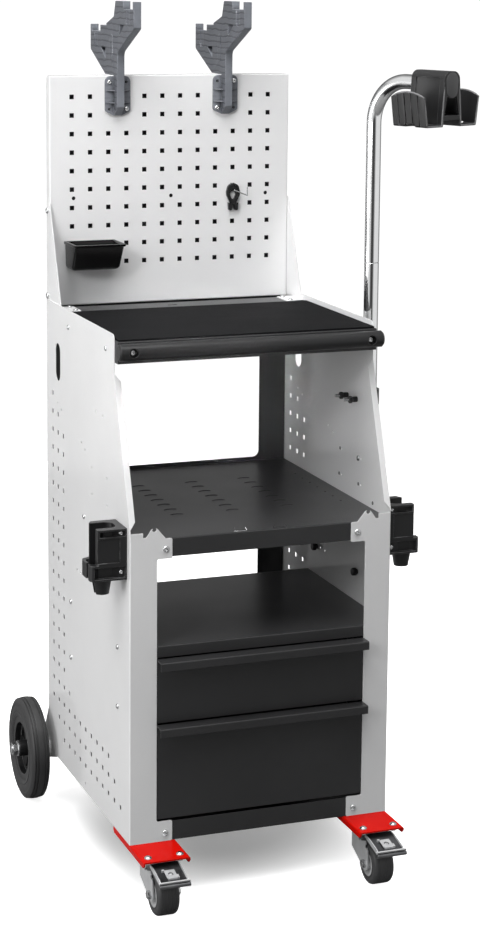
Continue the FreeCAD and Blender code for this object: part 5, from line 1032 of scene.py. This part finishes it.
# Brake pedals: bright flanges, lip and spring plate on the dark foot plate

PEDAL_X = 219.0
PEDAL_HALF = 27.8
PEDAL_REAR, PEDAL_REAR_Z = -621.5, 102.0
PEDAL_FRONT, PEDAL_FRONT_Z = -686.0, 87.5
PEDAL_AHEAD = Vector((0, PEDAL_FRONT - PEDAL_REAR, PEDAL_FRONT_Z - PEDAL_REAR_Z)).normalized()
PEDAL_UP = PEDAL_AHEAD.cross(X_AXIS)
PEDAL_BEVEL = 0.35
FLANGE_T, FLANGE_PROUD = 1.8, 0.1
FLANGE = ((1, -5), (1, 0.1), (17, 3.2), (30, 3.8), (57, 3.8), (63, 2), (66, -1), (66, -5))
PEDAL_LIP = ((60, -0.6), (64, -0.8), (67, 0.2), (68.8, 2.4), (69.4, 5.4), (67.6, 5.8), (67, 3.6), (65.6, 1.8),
             (63.4, 1.0), (60, 0.9))
PEDAL_LIP_HALF = PEDAL_HALF + 2.2
SPRING_LOW, SPRING_T = 2.4, 1.3
SPRING_HALF_X, SPRING_HALF_Y, SPRING_MID = 10.5, 12.5, 41.0
SPRING_HOLE_R = 5.0
SPRING_STEPS = 32
TABS = ((-14, -9.5, 27, 31), (10, 13, 46, 55), (-9, 9, 53, 56))
TAB_LOW, TAB_H = 0.2, 4.6
SPRING_SCREW_LOW, SPRING_SCREW = 0.3, (3.6, 3.4, 2.0, 1.5)


def pedal_fittings(middle):
    """Side flanges, front lip, spring plate with a hole, its tabs and its screw."""
    start = at(middle, PEDAL_REAR, PEDAL_REAR_Z)

    def spot(x, ahead, up):
        return start + X_AXIS * (x * MM) + PEDAL_AHEAD * (ahead * MM) + PEDAL_UP * (up * MM)

    solids = []
    for side in (-1, 1):
        edge = side * (PEDAL_HALF + FLANGE_PROUD)
        solids.append(prism(FLANGE, lambda a, b: spot(edge, a, b), X_AXIS * (-side * FLANGE_T * MM)))
    solids.append(prism(PEDAL_LIP, lambda a, b: spot(-PEDAL_LIP_HALF, a, b), X_AXIS * (2 * PEDAL_LIP_HALF * MM)))
    outer, hole = [], []
    for k in range(SPRING_STEPS):
        turn = 2 * math.pi * (k + 0.5) / SPRING_STEPS
        c, n = math.cos(turn), math.sin(turn)
        reach = min(SPRING_HALF_X / abs(c), SPRING_HALF_Y / abs(n))
        outer.append((c * reach, SPRING_MID + n * reach))
        hole.append((c * SPRING_HOLE_R, SPRING_MID + n * SPRING_HOLE_R))
    high = SPRING_LOW + SPRING_T
    solids.append(skin([[spot(x, a, up) for x, a in line] for line, up in
                        ((outer, SPRING_LOW), (outer, high), (hole, high), (hole, SPRING_LOW))], closed=True))
    for x0, x1, a0, a1 in TABS:
        outline = ((x0, a0), (x1, a0), (x1, a1), (x0, a1))
        solids.append(prism(outline, lambda x, a: spot(x, a, TAB_LOW), PEDAL_UP * (TAB_H * MM)))
    solids.append(screw_at(spot(0, SPRING_MID, SPRING_SCREW_LOW), PEDAL_UP, SPRING_SCREW))
    return merged(solids)


for name, side in (("left", -1), ("right", 1)):
    piece("pedal_fittings_" + name, *pedal_fittings(side * PEDAL_X), "brake_" + name, "bright_zinc",
          bevel=PEDAL_BEVEL, finish="satin_zinc")


# Stage, light and camera

FLOOR_R = 3.4
FLOOR_STEPS = 96
# The floor's glow is weakest near its middle, under the trolley: a painted shadow there, fading out to full glow.
FLOOR_GLOW, FLOOR_FAR_GLOW = 0.18, 1.0
FLOOR_NEAR, FLOOR_FAR = 0.15, 0.5
FLOOR_MIDDLE = (-0.05, 0.05, 0.0)
FLOOR_BOUNCE = 0.3
floor_mesh = bpy.data.meshes.new("floor")
floor_mesh.from_pydata(ring(Vector((0, 0, 0)), Z_AXIS, FLOOR_R, FLOOR_STEPS), [], [tuple(range(FLOOR_STEPS))])
floor = placed("floor", floor_mesh)
floor.location = FLOOR_MIDDLE


def pale_floor():
    """Pale paper that glows to the eye, dimly round its middle as a painted shadow under the trolley and fully
    further out, and throws less light back on the trolley.
    """
    paper = Finish("pale_paper", (0.87, 0.87, 0.87), (0.9, 0.9, 0.9), (0.7, 0.8), specular=0.0)
    made = paper.edged(0.001).grained(300.0, 0.00002).done()
    tree, body = paper.tree, paper.body
    place = shader(tree, "TexCoord").outputs["Object"]
    away = shader(tree, "VectorMath", {0: place}, operation="LENGTH").outputs["Value"]
    glow = ranged(tree, away, FLOOR_NEAR, FLOOR_FAR, FLOOR_GLOW, FLOOR_FAR_GLOW, interpolation_type="SMOOTHSTEP")
    body.inputs["Emission Color"].default_value = WHITE
    join(tree, glow, body.inputs["Emission Strength"])
    dull = shader(tree, "BsdfDiffuse", {"Color": (FLOOR_BOUNCE, FLOOR_BOUNCE, FLOOR_BOUNCE, 1.0)})
    seen = shader(tree, "LightPath").outputs["Is Camera Ray"]
    both = either(tree, seen, dull.outputs["BSDF"], body.outputs["BSDF"])
    join(tree, both, tree.nodes["Material Output"].inputs["Surface"])
    return made


floor_mesh.materials.append(pale_floor())


def softbox(name, place, aim, width, height, power, spread=180.0):
    """Large soft light that faces a point; spread is the angle of its beam."""
    data = bpy.data.lights.new(name, "AREA")
    data.shape = "RECTANGLE"
    data.size, data.size_y = width, height
    data.energy = power
    data.spread = math.radians(spread)
    obj = placed(name, data)
    obj.location = place
    obj.rotation_mode = "QUATERNION"
    obj.rotation_quaternion = (aim - place).to_track_quat("-Z", "Y")
    return obj


softbox("overhead", at(-800, -1300, 4200), at(-300, -600, 300), 3.0, 2.4, 165.0)
softbox("key_left", at(-2200, -1800, 1900), at(-200, -200, 1000), 1.2, 1.6, 25.0)
softbox("side_left", at(-3000, -100, 700), at(-330, -250, 450), 1.4, 2.2, 37.0)
softbox("key_high", at(-2600, -2900, 3000), at(260, 0, 1290), 0.8, 0.8, 1.15, 26.0)
for fill in (softbox("fill_right", at(2900, 500, 1100), at(265, -250, 600), 1.4, 2.2, 11.0, 70.0),
             softbox("fill_rear", at(300, 3200, 1900), at(0, 20, 800), 1.6, 1.6, 11.0, 70.0),
             softbox("fill_bay", at(-900, -2600, 1300), at(105, 10, 860), 0.2, 0.2, 0.36, 7.5)):
    fill.visible_glossy = False

# Height above the level, or turn to the front, between two values, and the light's strength at them
STUDIO_LEVEL = (-0.2, 0.8, 0.08, 0.16)
STUDIO_GAP = (0.8, 0.97, 0.9, 0.06)
STUDIO_REAR = (-0.9, -0.3, 0.35, 1.0)
STUDIO_FRONT = (-0.35, -0.937, 0.0)
PAPER_WHITE = 1.05


def studio_world():
    """White to the eye; a dim room as a light; in a shiny face a pale room, dark at its front, dim at its rear."""
    world = bpy.data.worlds.new("studio")
    world.use_nodes = True
    tree = world.node_tree
    outward = shader(tree, "TexCoord").outputs["Generated"]
    height = shader(tree, "SeparateXYZ", {"Vector": outward}).outputs["Z"]
    toward = shader(tree, "VectorMath", {0: outward, 1: STUDIO_FRONT}, operation="DOT_PRODUCT").outputs["Value"]
    gloss = reckon(tree, "MULTIPLY", ranged(tree, toward, *STUDIO_GAP), ranged(tree, toward, *STUDIO_REAR))
    room = tree.nodes["Background"]
    room.inputs["Color"].default_value = WHITE
    join(tree, ranged(tree, height, *STUDIO_LEVEL), room.inputs["Strength"])
    shine = shader(tree, "Background", {"Color": WHITE, "Strength": gloss})
    paper = shader(tree, "Background", {"Color": WHITE, "Strength": PAPER_WHITE})
    path = shader(tree, "LightPath").outputs
    lit = either(tree, path["Is Glossy Ray"], room.outputs["Background"], shine.outputs["Background"])
    seen = either(tree, path["Is Camera Ray"], lit, paper.outputs["Background"])
    join(tree, seen, tree.nodes["World Output"].inputs["Surface"])
    bpy.context.scene.world = world


studio_world()
bpy.context.scene.view_settings.view_transform = "Standard"

CAMERA_PLACE = at(-1469.17, -4356.14, 1771.87)
CAMERA_AZIMUTH = math.radians(20.4565)
CAMERA_DOWN = math.radians(8.693)
CAMERA_ROLL = math.radians(0.4748)
CAMERA_LENS = 86.02
CAMERA_SENSOR, CAMERA_FAR = 36.0, 60.0
CAMERA_SHIFT_Y = -0.1757

camera_data = bpy.data.cameras.new("photo_camera")
camera_data.sensor_width = CAMERA_SENSOR
camera_data.lens = CAMERA_LENS
camera_data.shift_y = CAMERA_SHIFT_Y
camera_data.clip_end = CAMERA_FAR
camera = placed("photo_camera", camera_data)
camera.location = CAMERA_PLACE
camera.rotation_mode = "QUATERNION"
level = math.cos(CAMERA_DOWN)
ahead = Vector((math.sin(CAMERA_AZIMUTH) * level, math.cos(CAMERA_AZIMUTH) * level, -math.sin(CAMERA_DOWN)))
camera.rotation_quaternion = ahead.to_track_quat("-Z", "Y") @ Quaternion((0, 0, 1), CAMERA_ROLL)
bpy.context.scene.camera = camera
